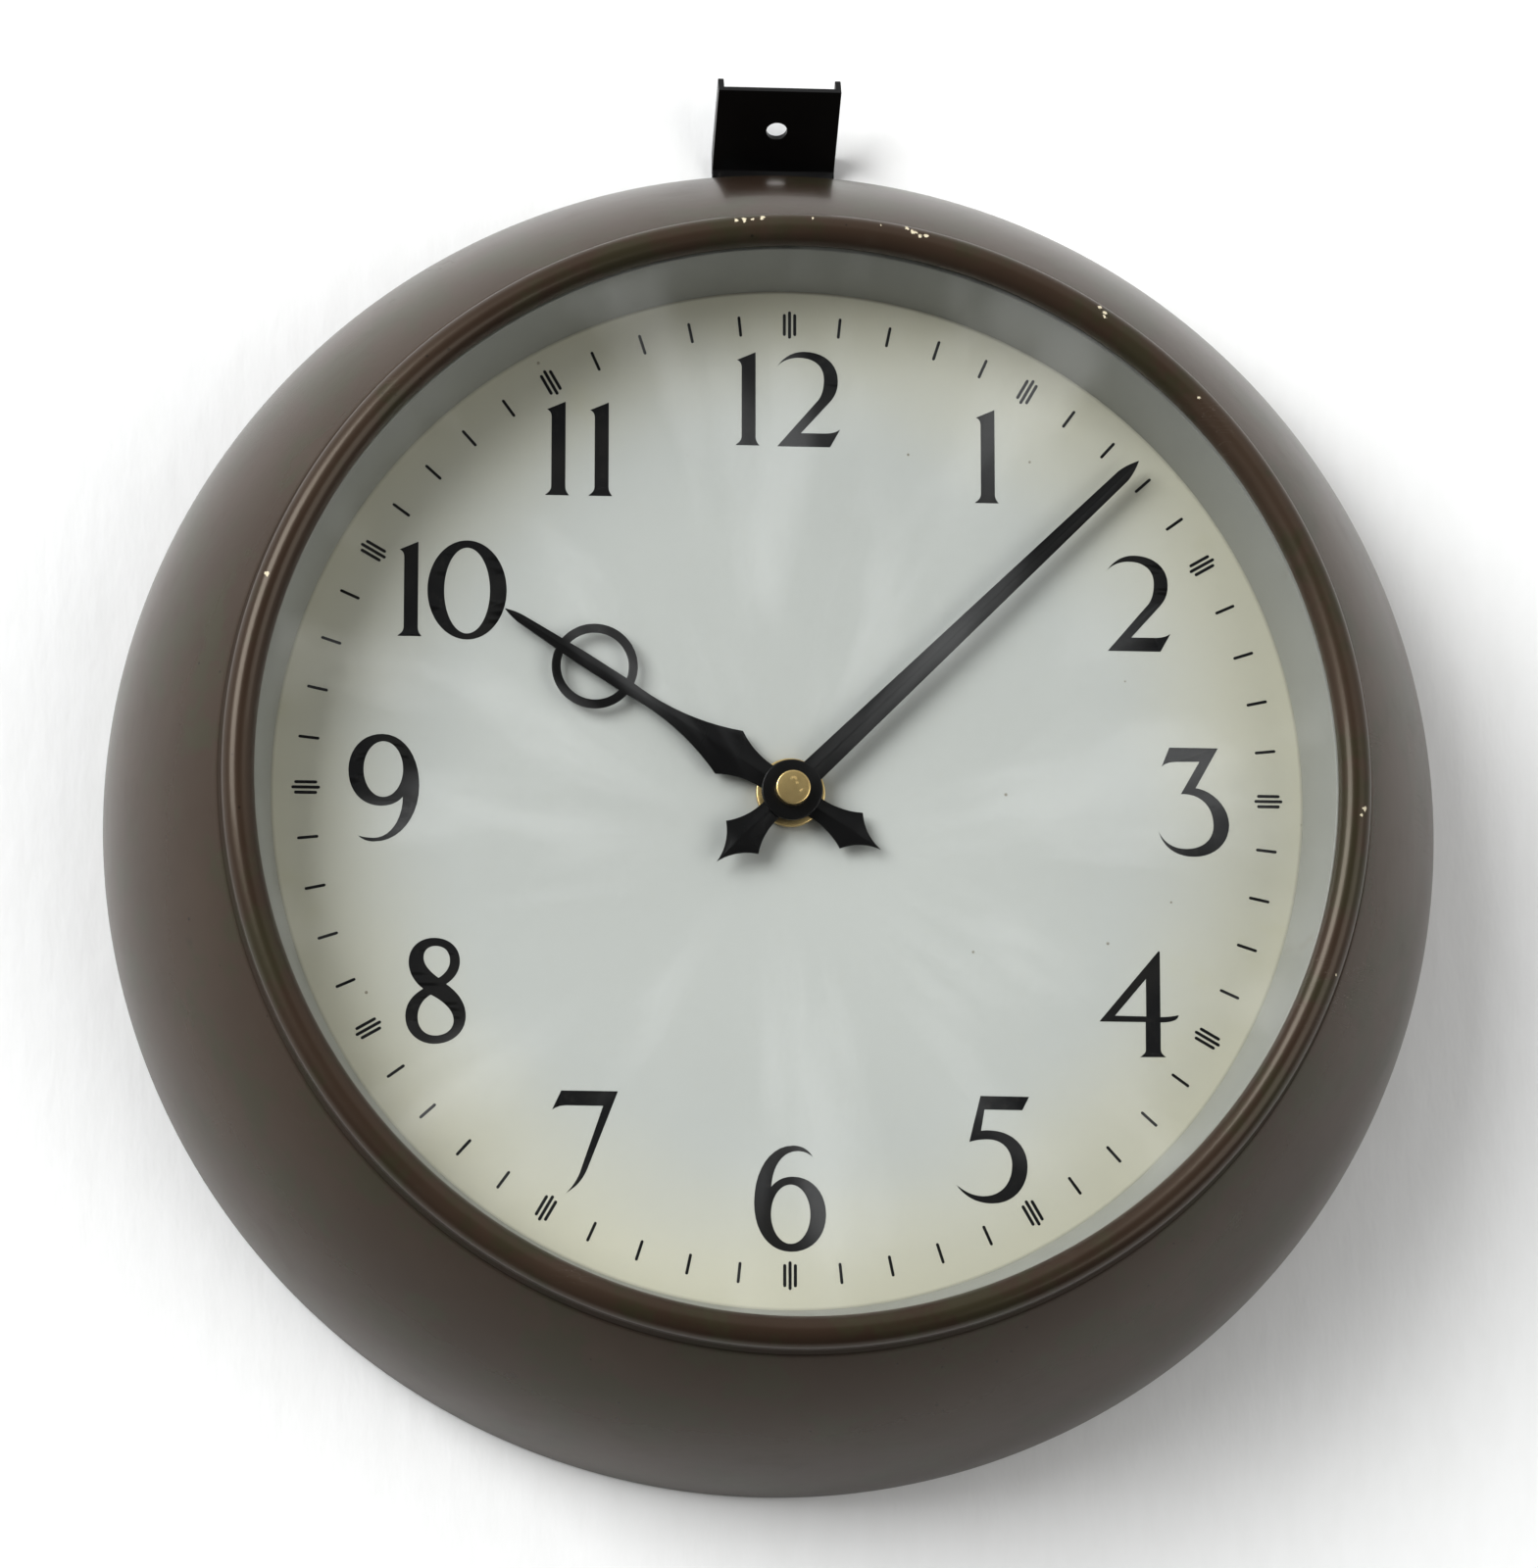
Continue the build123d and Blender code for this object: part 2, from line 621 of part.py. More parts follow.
def backstop_click():
    """Finger below the nine o'clock side that stops the wheel running back."""
    px, py = CLICK_PIVOT
    hub = disc(2.8, 22, 27, CLICK_PIVOT)
    finger = plate([(px - 1.2, py), (px + 1.2, py), (-25.2, -3.0), (-24.3, -1.45),
                    (-23.6, -0.4), (-24.8, -0.2), (-25.8, -1.4), (-27.0, -3.0)], 23.9, 25.1)
    body = hub + finger - disc(1.0, 20, 30, CLICK_PIVOT)
    return turned_about(body, CLICK_PIVOT, CLICK_LIFT)


def return_spring():
    """Leaf on the banking bracket that pushes the arm back after an impulse."""
    outline = [(26.0, 3.5), (28.7, 3.5), (28.7, 5.0), (29.9, 24.5), (29.9, 26.0),
               (29.5, 26.0), (28.2, 5.4), (26.0, 5.0)]
    return plate(outline, 28.4, 29.6)


def banking_bracket():
    """Angle on the rear plate: holds the leaf and stops the arm at rest."""
    post = block(25.0, 28.8, 0, 3.5, 15.5, 31)
    stop = block(34.1, 37.5, 8, 12, 15.5, 31)
    return [post, stop]


def pawl_spring():
    """Wire that presses the pawl down on the wheel."""
    path = Polyline((29.0, 29.6, 24.5), (20.0, 27.75, 24.5), (12.0, 27.35, 24.5))
    wire = sweep(Plane(path @ 0, z_dir=path % 0) * Circle(0.25), path, transition=Transition.ROUND)
    return wire


def click_spring():
    """Wire from the left pillar that presses the click inwards."""
    path = Polyline((-37.2, 27.0, 24.5), (-36.0, 6.0, 24.5), (-29.25, -5.0, 24.5))
    return sweep(Plane(path @ 0, z_dir=path % 0) * Circle(0.25), path, transition=Transition.ROUND)


# ---- electrical connection ----
def terminal_block():
    body = block(44, 80, -86, -70, 4.5, 13)
    body = fillet(body.edges().filter_by(Axis.Z), 2)
    body -= block(61.3, 62.7, -90, -60, 10.5, 14)
    body -= at_each(disc(1.5, 7, 14), TERMINALS)
    return body - at_each(disc(1.55, 0, 14), BLOCK_FIXINGS)


def terminal_block_screws():
    screw = Pos(0, 0, 14.2) * Rot(180, 0, 0) * pan_screw(1.9, 1.5, 11.0, 1.2)
    return at_each(screw, BLOCK_FIXINGS)


def terminal_screws():
    """Brass screws that clamp the wires on the block."""
    screw = Pos(0, 0, 14.8) * Rot(180, 0, 0) * pan_screw(3.0, 1.45, 5.5, 1.8)
    return at_each(screw, TERMINALS)


def lead(points):
    """Insulated wire along straight runs joined by arcs as large as they allow."""
    radii = []
    for before, corner, after in zip(points, points[1:], points[2:]):
        into = Vector(*corner) - Vector(*before)
        away = Vector(*after) - Vector(*corner)
        half_turn = radians(into.get_angle(away)) / 2
        radii.append(0.45 * min(into.length, away.length) / tan(half_turn))
    path = FilletPolyline(*points, radius=radii)
    print("lead radii", [round(radius, 1) for radius in radii])
    return sweep(Plane(path @ 0, z_dir=path % 0) * Circle(WIRE_RADIUS), path)


def coil_leads():
    """Two wires from the bobbins' lower flanges to the side of the block."""
    left = [(-19.5, -48.85, 26), (-27.0, -50.5, 26), (-26.5, -62, 25), (-14, -70, 22),
            (8, -70.5, 17), (28, -78, 11), (43.8, -81, 9)]
    right = [(19.5, -48.85, 26), (26.5, -50.5, 26), (27.0, -61, 23), (32.5, -71.5, 13.5),
             (43.8, -75, 9)]
    return [lead(left), lead(right)]


# ---- write the files ----
NODES = [
    case_shell, back_plate, case_lugs, back_screws, hanging_lug, lug_rivets, cable_grommet,
    bezel, bezel_clips, glass, glass_gasket, sight_ring,
    dial, dial_feet, dial_posts, dial_set_screws, dial_post_screws,
    rear_plate, front_plate, movement_posts, movement_post_screws, pillars, pillar_screws,
    arbor_bushes, ratchet_wheel, centre_arbor, arbor_collar, cannon_pinion,
    minute_wheel, minute_wheel_stud, stud_collar, hour_wheel,
    hour_hand, hour_collet, minute_hand, minute_boss, hand_nut,
    coil_cores, yoke, yoke_screws, bobbins, windings, armature, armature_arbor, pawl_stud,
    drive_pawl, pawl_spring, click_arbor, backstop_click, click_spring, return_spring,
    banking_bracket, terminal_block, terminal_block_screws, terminal_screws, coil_leads,
]


def hang(piece):
    """Stand a bench-drawn piece, or list of pieces, up against the wall."""
    solids = []
    for shape in piece if isinstance(piece, list) else [piece]:
        solids += shape.solids()
    return Compound(children=[Rot(90, 0, 0) * solid for solid in solids])


if __name__ == "__main__":
    os.makedirs(OUT, exist_ok=True)
    for node in NODES:
        export_step(hang(node()), OUT + "/" + node.__name__ + ".step")
        print("wrote", node.__name__)
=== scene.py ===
# %% [markdown]
# # A round slave clock for a factory wall
# The real clock is a spun steel case with a beaded bezel, a painted dial under
# flat glass and two black hands.  A master clock sends it a pulse every half
# minute.  The steel parts were drawn in CAD; this lesson keeps them as the fixed
# frame, lays smooth surfaces over the parts that are seen, and paints everything
# with procedural finishes.

# %% Load the frame
import json
import math

import bmesh
import bpy
import numpy as np
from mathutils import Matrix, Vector


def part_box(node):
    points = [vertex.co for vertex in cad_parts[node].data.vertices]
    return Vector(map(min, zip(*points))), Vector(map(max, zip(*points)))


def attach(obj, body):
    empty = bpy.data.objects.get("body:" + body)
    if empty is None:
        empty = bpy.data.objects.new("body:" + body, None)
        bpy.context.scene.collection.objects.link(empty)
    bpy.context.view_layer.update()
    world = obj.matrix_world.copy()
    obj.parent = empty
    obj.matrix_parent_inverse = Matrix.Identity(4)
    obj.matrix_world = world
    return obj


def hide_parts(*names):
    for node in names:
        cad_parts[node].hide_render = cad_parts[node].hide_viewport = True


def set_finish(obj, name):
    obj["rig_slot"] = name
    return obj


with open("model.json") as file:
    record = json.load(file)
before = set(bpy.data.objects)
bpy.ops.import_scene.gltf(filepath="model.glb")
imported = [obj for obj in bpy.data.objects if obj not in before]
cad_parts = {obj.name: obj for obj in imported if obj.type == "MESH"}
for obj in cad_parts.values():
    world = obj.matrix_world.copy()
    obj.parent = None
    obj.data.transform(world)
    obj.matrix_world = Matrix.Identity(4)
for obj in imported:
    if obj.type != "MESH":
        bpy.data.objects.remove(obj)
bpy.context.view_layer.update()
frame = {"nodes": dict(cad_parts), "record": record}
MM, PER_METRE = 0.001, 1000.0

# %% [markdown]
# ## The camera
# The clock hangs above eye level and a little to the right of the viewer, so the
# camera stands low and to the left.  A long lens keeps the round case round.  The
# camera is placed by its direction and distance from a point on the dial's axis.

# %% Camera
AZIMUTH = math.radians(-4.85)
ELEVATION = math.radians(-10.41)
DISTANCE = 1.65185
AIM = Vector((-0.00075, 0.0, 0.01125))

away = Vector((math.sin(AZIMUTH) * math.cos(ELEVATION),
               -math.cos(AZIMUTH) * math.cos(ELEVATION), math.sin(ELEVATION)))
camera_data = bpy.data.cameras.new("camera")
camera_data.lens = 158.7
camera_data.sensor_width = 36.0
camera = bpy.data.objects.new("camera", camera_data)
camera.location = AIM + away * DISTANCE
camera.rotation_euler = (-away).to_track_quat("-Z", "Y").to_euler()
bpy.context.scene.collection.objects.link(camera)
bpy.context.scene.camera = camera
print("camera stands", [round(v, 3) for v in camera.location])

# %% [markdown]
# ## Shader sums as Python sums
# A finish is mostly arithmetic on patterns: a mask times a mask, one minus a
# mask.  Drawing that as nodes is slow to read, so `Value` wraps a socket and its
# operators add the Math nodes.  `Finish` owns one material and has a single
# method, `node`, for every other kind of node.

# %% Value and Finish
class Value:
    """A number that varies over the surface, held as a node's output socket."""

    def __init__(self, finish, socket):
        self.finish = finish
        self.socket = socket

    def math(self, operation, *others, before=()):
        """Math node on (before..., self, others...)."""
        inputs = list(before) + [self] + list(others)
        node = self.finish.node("ShaderNodeMath", {"operation": operation},
                                dict(enumerate(inputs)))
        return Value(self.finish, node.outputs[0])

    def __add__(self, other):
        return self.math("ADD", other)

    def __radd__(self, other):
        return self.math("ADD", other)

    def __sub__(self, other):
        return self.math("SUBTRACT", other)

    def __rsub__(self, other):
        return self.math("SUBTRACT", before=[other])

    def __mul__(self, other):
        return self.math("MULTIPLY", other)

    def __rmul__(self, other):
        return self.math("MULTIPLY", other)

    def __truediv__(self, other):
        return self.math("DIVIDE", other)

    def __pow__(self, other):
        return self.math("POWER", other)

    def between(self, low, high):
        """Smooth step: 0 below low, 1 above high; low may be the larger."""
        node = self.finish.node(
            "ShaderNodeMapRange", {"interpolation_type": "SMOOTHSTEP"},
            {"Value": self, "From Min": low, "From Max": high})
        return Value(self.finish, node.outputs[0])


class Finish:
    """One material: a Principled shader and the patterns that feed it."""

    def __init__(self, name, **settings):
        self.material = bpy.data.materials.new(name)
        self.material.use_nodes = True
        self.tree = self.material.node_tree
        self.shader = self.tree.nodes["Principled BSDF"]
        self.output = self.tree.nodes["Material Output"]
        self.set(self.shader, settings)
        where = self.node("ShaderNodeTexCoord", {}, {})
        self.place = where.outputs["Object"]
        parts = self.node("ShaderNodeSeparateXYZ", {}, {0: self.place})
        self.x, self.y, self.z = [Value(self, out) for out in parts.outputs]

    def set(self, node, values):
        """Give sockets their numbers, colours or links."""
        for name, value in values.items():
            socket = node.inputs[name]
            if isinstance(value, Value):
                value = value.socket
            if isinstance(value, bpy.types.NodeSocket):
                self.tree.links.new(value, socket)
            elif isinstance(value, tuple) and len(value) == 3 and socket.type == "RGBA":
                socket.default_value = (*value, 1.0)
            else:
                socket.default_value = value

    def node(self, kind, settings, values):
        """Any node: its settings first, then its sockets' values or links."""
        node = self.tree.nodes.new(kind)
        for name, value in settings.items():
            setattr(node, name, value)
        self.set(node, values)
        return node

    def stretched(self, scale):
        """Object coordinates pulled out of square, for streaks and brush marks."""
        node = self.node("ShaderNodeMapping", {}, {"Vector": self.place, "Scale": scale})
        return node.outputs[0]

    def noise(self, per_metre, detail=3.0, rough=0.5, at=None):
        """Cloudy pattern, about 0 to 1, with this many clouds in a metre."""
        node = self.node("ShaderNodeTexNoise", {},
                         {"Vector": at or self.place, "Scale": per_metre,
                          "Detail": detail, "Roughness": rough})
        return Value(self, node.outputs["Fac"])

    def cells(self, per_metre):
        """Distance to scattered points, for specks."""
        node = self.node("ShaderNodeTexVoronoi", {"feature": "F1"},
                         {"Vector": self.place, "Scale": per_metre})
        return Value(self, node.outputs["Distance"])

    def blend(self, first, second, amount):
        """Colour that goes from first to second as amount goes from 0 to 1."""
        node = self.node("ShaderNodeMix", {"data_type": "RGBA"},
                         {0: amount, 6: first, 7: second})
        return node.outputs[2]

    def relief(self, height, distance, strength):
        """Bump from a height pattern; distance is its full depth in metres."""
        node = self.node("ShaderNodeBump", {},
                         {"Height": height, "Distance": distance, "Strength": strength})
        self.set(self.shader, {"Normal": node.outputs[0]})

    def feed(self, **sockets):
        """Link patterns to the shader: base, roughness, metallic or coat."""
        names = {"base": "Base Color", "roughness": "Roughness",
                 "metallic": "Metallic", "coat": "Coat Weight"}
        self.set(self.shader, {names[key]: value for key, value in sockets.items()})

    def radius(self):
        """Distance from the dial's axis, in millimetres."""
        return (self.x * self.x + self.z * self.z) ** 0.5 * PER_METRE

    def hour(self):
        """Place round the dial as an hour, from -6 to 6 with 0 at twelve."""
        return self.x.math("ARCTAN2", self.z) * (6.0 / math.pi)


print("helpers ready")

# %% [markdown]
# ## Turned parts
# A spinner presses a steel disc over a turning form, so the case, the bezel and
# the ring under the glass are all one section turned about one axis.  The same
# is done here with two arrays: the section gives radius and height, the turn
# gives an angle, and every point is their product.

# %% Meshes from grids
def closed_mesh(name, points, wrap=(True, True), sharp_degrees=40.0):
    """Quads between neighbouring points of a rows x columns grid.

    wrap says which of the two directions joins its last line to its first.
    Points that fall together are merged, which closes poles, and the faces are
    turned over if the signed volume, the sum of a.(b x c)/6, is negative.
    """
    rows, columns = points.shape[:2]
    row = np.arange(rows if wrap[0] else rows - 1)[:, None]
    column = np.arange(columns if wrap[1] else columns - 1)[None, :]
    below, beside = (row + 1) % rows, (column + 1) % columns
    corners = [row * columns + column, row * columns + beside,
               below * columns + beside, below * columns + column]
    faces = np.stack(corners, axis=-1).reshape(-1, 4)
    flat = points.reshape(-1, 3).astype(float)
    a, b, c, d = (flat[faces[:, k]] for k in range(4))
    volume = (a * np.cross(b, c)).sum() + (a * np.cross(c, d)).sum()
    if volume < 0:
        faces = faces[:, ::-1]
    mesh = bpy.data.meshes.new(name)
    mesh.from_pydata(flat.tolist(), [], faces.tolist())
    return placed(name, welded(mesh), sharp_degrees)


def welded(mesh):
    """Merge points that lie together and drop the faces that vanish."""
    work = bmesh.new()
    work.from_mesh(mesh)
    bmesh.ops.remove_doubles(work, verts=work.verts, dist=2e-6)
    work.to_mesh(mesh)
    work.free()
    return mesh


def placed(name, mesh, sharp_degrees=40.0):
    """Object for a finished mesh, smooth but for its sharp edges."""
    mesh.shade_smooth()
    mesh.set_sharp_from_angle(angle=math.radians(sharp_degrees))
    piece = bpy.data.objects.new(name, mesh)
    bpy.context.scene.collection.objects.link(piece)
    return piece


def arc(start, middle, end, steps=12):
    """Points on the circle through three points, start to end."""
    (ax, ay), (bx, by), (cx, cy) = start, middle, end
    d = 2 * (ax * (by - cy) + bx * (cy - ay) + cx * (ay - by))
    aa, bb, cc = ax**2 + ay**2, bx**2 + by**2, cx**2 + cy**2
    ux = (aa * (by - cy) + bb * (cy - ay) + cc * (ay - by)) / d
    uy = (aa * (cx - bx) + bb * (ax - cx) + cc * (bx - ax)) / d
    first, mid, last = (math.atan2(y - uy, x - ux) for x, y in (start, middle, end))
    sweep = (last - first) % (2 * math.pi)
    if (mid - first) % (2 * math.pi) > sweep:
        sweep -= 2 * math.pi
    turn = first + sweep * np.linspace(0, 1, steps + 1)
    radius = math.hypot(ax - ux, ay - uy)
    return np.stack([ux + radius * np.cos(turn), uy + radius * np.sin(turn)], axis=-1)


def eased(points, radius, steps=4):
    """Round each corner: p - r*in, bent over p, to p + r*out, as a parabola."""
    points = np.asarray(points, float)
    before = np.roll(points, 1, axis=0) - points
    after = np.roll(points, -1, axis=0) - points
    reach_b = np.linalg.norm(before, axis=1, keepdims=True)
    reach_a = np.linalg.norm(after, axis=1, keepdims=True)
    size = np.minimum(np.minimum(reach_a, reach_b) * 0.45, radius)
    start = points + before / reach_b * size
    end = points + after / reach_a * size
    t = np.linspace(0, 1, steps + 1)[None, :, None]
    curve = ((1 - t)**2 * start[:, None] + 2 * t * (1 - t) * points[:, None]
             + t**2 * end[:, None])
    return curve.reshape(-1, 2)


def eased_path(points, radius, steps=4):
    """The same for an open line, whose two ends stay where they are."""
    bent = eased(points, radius, steps)[steps + 1:-(steps + 1)]
    return np.concatenate([points[:1], bent, points[-1:]])


TURNS = 360


def lathe(section, turns):
    """Points of a (radius, height) section in mm, turned about the dial's axis.

    x = r sin a, y = -height, z = r cos a; height counts out of the wall.
    """
    section = np.asarray(section, float) * MM
    angle = np.linspace(0, 2 * np.pi, turns, endpoint=False)[:, None]
    radius, height = section[:, 0][None, :], section[:, 1][None, :]
    return np.stack([radius * np.sin(angle), -height + 0 * angle,
                     radius * np.cos(angle)], axis=-1)


def turned(name, section, sharp_degrees=40.0, turns=TURNS):
    """Turn a closed section into a ring."""
    return closed_mesh(name, lathe(section, turns), sharp_degrees=sharp_degrees)


def turned_disc(name, outline, turns=TURNS):
    """Turn an open outline that starts and ends on the axis into a solid."""
    return closed_mesh(name, lathe(outline, turns), wrap=(True, False))


made = {}


def fit(piece, body, slot, *nodes):
    """Put a piece on its body, in its slot, in place of CAD nodes."""
    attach(piece, body)
    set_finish(piece, slot)
    if nodes:
        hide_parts(*nodes)
    made[piece.name] = piece
    print(piece.name, len(piece.data.polygons), "faces on", body)
    return piece


# %% [markdown]
# ## The case
# The side is one long swelling curve from the wall to the front, an arc in
# section, turned in at the bezel to a short neck that holds it.  The CAD solid
# has the same section but only as many facets as it needs, so the shell is laid
# again with enough steps for a clean highlight.

# %% Case shell
RIM = float(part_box("case_shell")[1].x) / MM
SIDE_ARC, SIDE_CENTRE = 133.5, (25.91, -10.5)
SIDE_TOP = 70.0
SHEET = 1.0
NECK, NECK_FRONT, NECK_BACK = 131.2, 70.1, 64.0
FOLD = 66.0


def side(height, inside=0.0):
    """Radius of the side: centre + sqrt(arc^2 - rise^2)."""
    return SIDE_CENTRE[0] + np.sqrt((SIDE_ARC - inside)**2 - (height - SIDE_CENTRE[1])**2)


def curve_up(low, high, inside, steps):
    """Points of the side between two heights, on its outer or inner face."""
    heights = np.linspace(low, high, steps + 1)
    return np.stack([side(heights, inside), heights], axis=-1)


neck = [(side(SIDE_TOP) - 0.12, NECK_FRONT), (NECK, NECK_FRONT), (NECK, NECK_BACK),
        (NECK + SHEET, NECK_BACK), (NECK + SHEET, FOLD)]
case_section = np.concatenate([
    curve_up(0.35, SIDE_TOP, 0.0, 64), eased_path(neck, 0.25),
    curve_up(FOLD, 0.35, SHEET, 30), [(side(0.0) - 0.65, 0.0), (side(0.0) - 0.3, 0.0)]])
case = turned("case", case_section, 50)

# The lug leaves the case through a notch in the rim, half a millimetre wider.
NOTCH_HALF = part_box("hanging_lug")[1].x + 0.5 * MM
NOTCH_DEPTH, NOTCH_LOW, NOTCH_HIGH = 5.4 * MM, 145 * MM, 170 * MM
notch_mesh = bpy.data.meshes.new("notch_cutter")
notch_mesh.from_pydata(
    [(x, y, z) for x in (-NOTCH_HALF, NOTCH_HALF) for y in (-NOTCH_DEPTH, 2 * MM)
     for z in (NOTCH_LOW, NOTCH_HIGH)], [],
    [(0, 1, 3, 2), (4, 6, 7, 5), (0, 4, 5, 1), (2, 3, 7, 6), (0, 2, 6, 4), (1, 5, 7, 3)])
cutter = bpy.data.objects.new("notch_cutter", notch_mesh)
bpy.context.scene.collection.objects.link(cutter)
cut = case.modifiers.new("notch", "BOOLEAN")
cut.object, cut.solver = cutter, "EXACT"
bpy.context.view_layer.update()
graph = bpy.context.evaluated_depsgraph_get()
notched = bpy.data.meshes.new_from_object(case.evaluated_get(graph))
case.modifiers.clear()
case.data = notched
notched.shade_smooth()
notched.set_sharp_from_angle(angle=math.radians(50))
bpy.data.objects.remove(cutter)
fit(case, "case", "case_paint", "case_shell")

# %% [markdown]
# ## Bezel, glass, sight ring and dial
# The bezel is a half-round bead whose foot flares out to meet the case, with a
# skirt that slides into the neck.  Behind its lip lie the glass and, under the
# glass, a grey cone that runs down to the dial and hides its edge.  All four are
# turned from short sections.

# %% Bezel
LIP, BEAD_OUTER, BEAD_FOOT = 124.1, 131.6, 70.5
SKIRT_OUTER, SKIRT_INNER, SKIRT_BACK, LIP_BACK = 131.1, 130.1, 64.6, 74.2
bead = arc((LIP, 75.0), (127.75, 78.7), (BEAD_OUTER, 74.4), 28)
flare = arc((BEAD_OUTER, 74.4), (131.72, 72.3), (side(NECK_FRONT), BEAD_FOOT), 8)
skirt = [(BEAD_OUTER, BEAD_FOOT), (SKIRT_OUTER, BEAD_FOOT), (SKIRT_OUTER, SKIRT_BACK),
         (SKIRT_INNER, SKIRT_BACK), (SKIRT_INNER, LIP_BACK), (LIP, LIP_BACK)]
bezel_section = np.concatenate([bead, flare[1:], eased(skirt, 0.25)])
fit(turned("bezel", bezel_section, 50), "case", "case_paint", "bezel")

# %% Glass
GLASS_BACK, GLASS_FRONT, GLASS_RADIUS = 70.8, 73.8, 129.0
glass_outline = [(0, GLASS_BACK), (GLASS_RADIUS, GLASS_BACK),
                 (GLASS_RADIUS, GLASS_FRONT), (0, GLASS_FRONT)]
fit(turned_disc("glass_pane", eased_path(glass_outline, 0.35)), "case", "glass", "glass")

# %% Sight ring and dial
DIAL_FACE = -float(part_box("dial")[0].y) / MM
ring_section = eased([(120.0, DIAL_FACE), (120.9, DIAL_FACE), (125.0, 70.0),
                      (GLASS_RADIUS, 70.0), (GLASS_RADIUS, GLASS_BACK),
                      (124.3, GLASS_BACK)], 0.28)
fit(turned("sight_cone", ring_section), "case", "ring_paint", "sight_ring")

DIAL_EDGE, DIAL_HOLE, DIAL_SHEET = 124.5, 5.0, 1.0
dial_section = eased([(DIAL_HOLE, DIAL_FACE), (DIAL_EDGE, DIAL_FACE),
                      (DIAL_EDGE, DIAL_FACE - DIAL_SHEET),
                      (DIAL_HOLE, DIAL_FACE - DIAL_SHEET)], 0.2)
fit(turned("dial_plate", dial_section), "case", "dial_paint", "dial")

# %% [markdown]
# ## Printed numbers and marks
# The dial is printed: old-style numbers with thick and thin strokes, a short mark
# for each minute and three bars for each hour.  A number is an outline of lines
# (L) and curves (C), in millimetres from its lower left corner.  The outlines are
# filled as flat curves, which see to the holes, made into a mesh, and only then
# put in place.

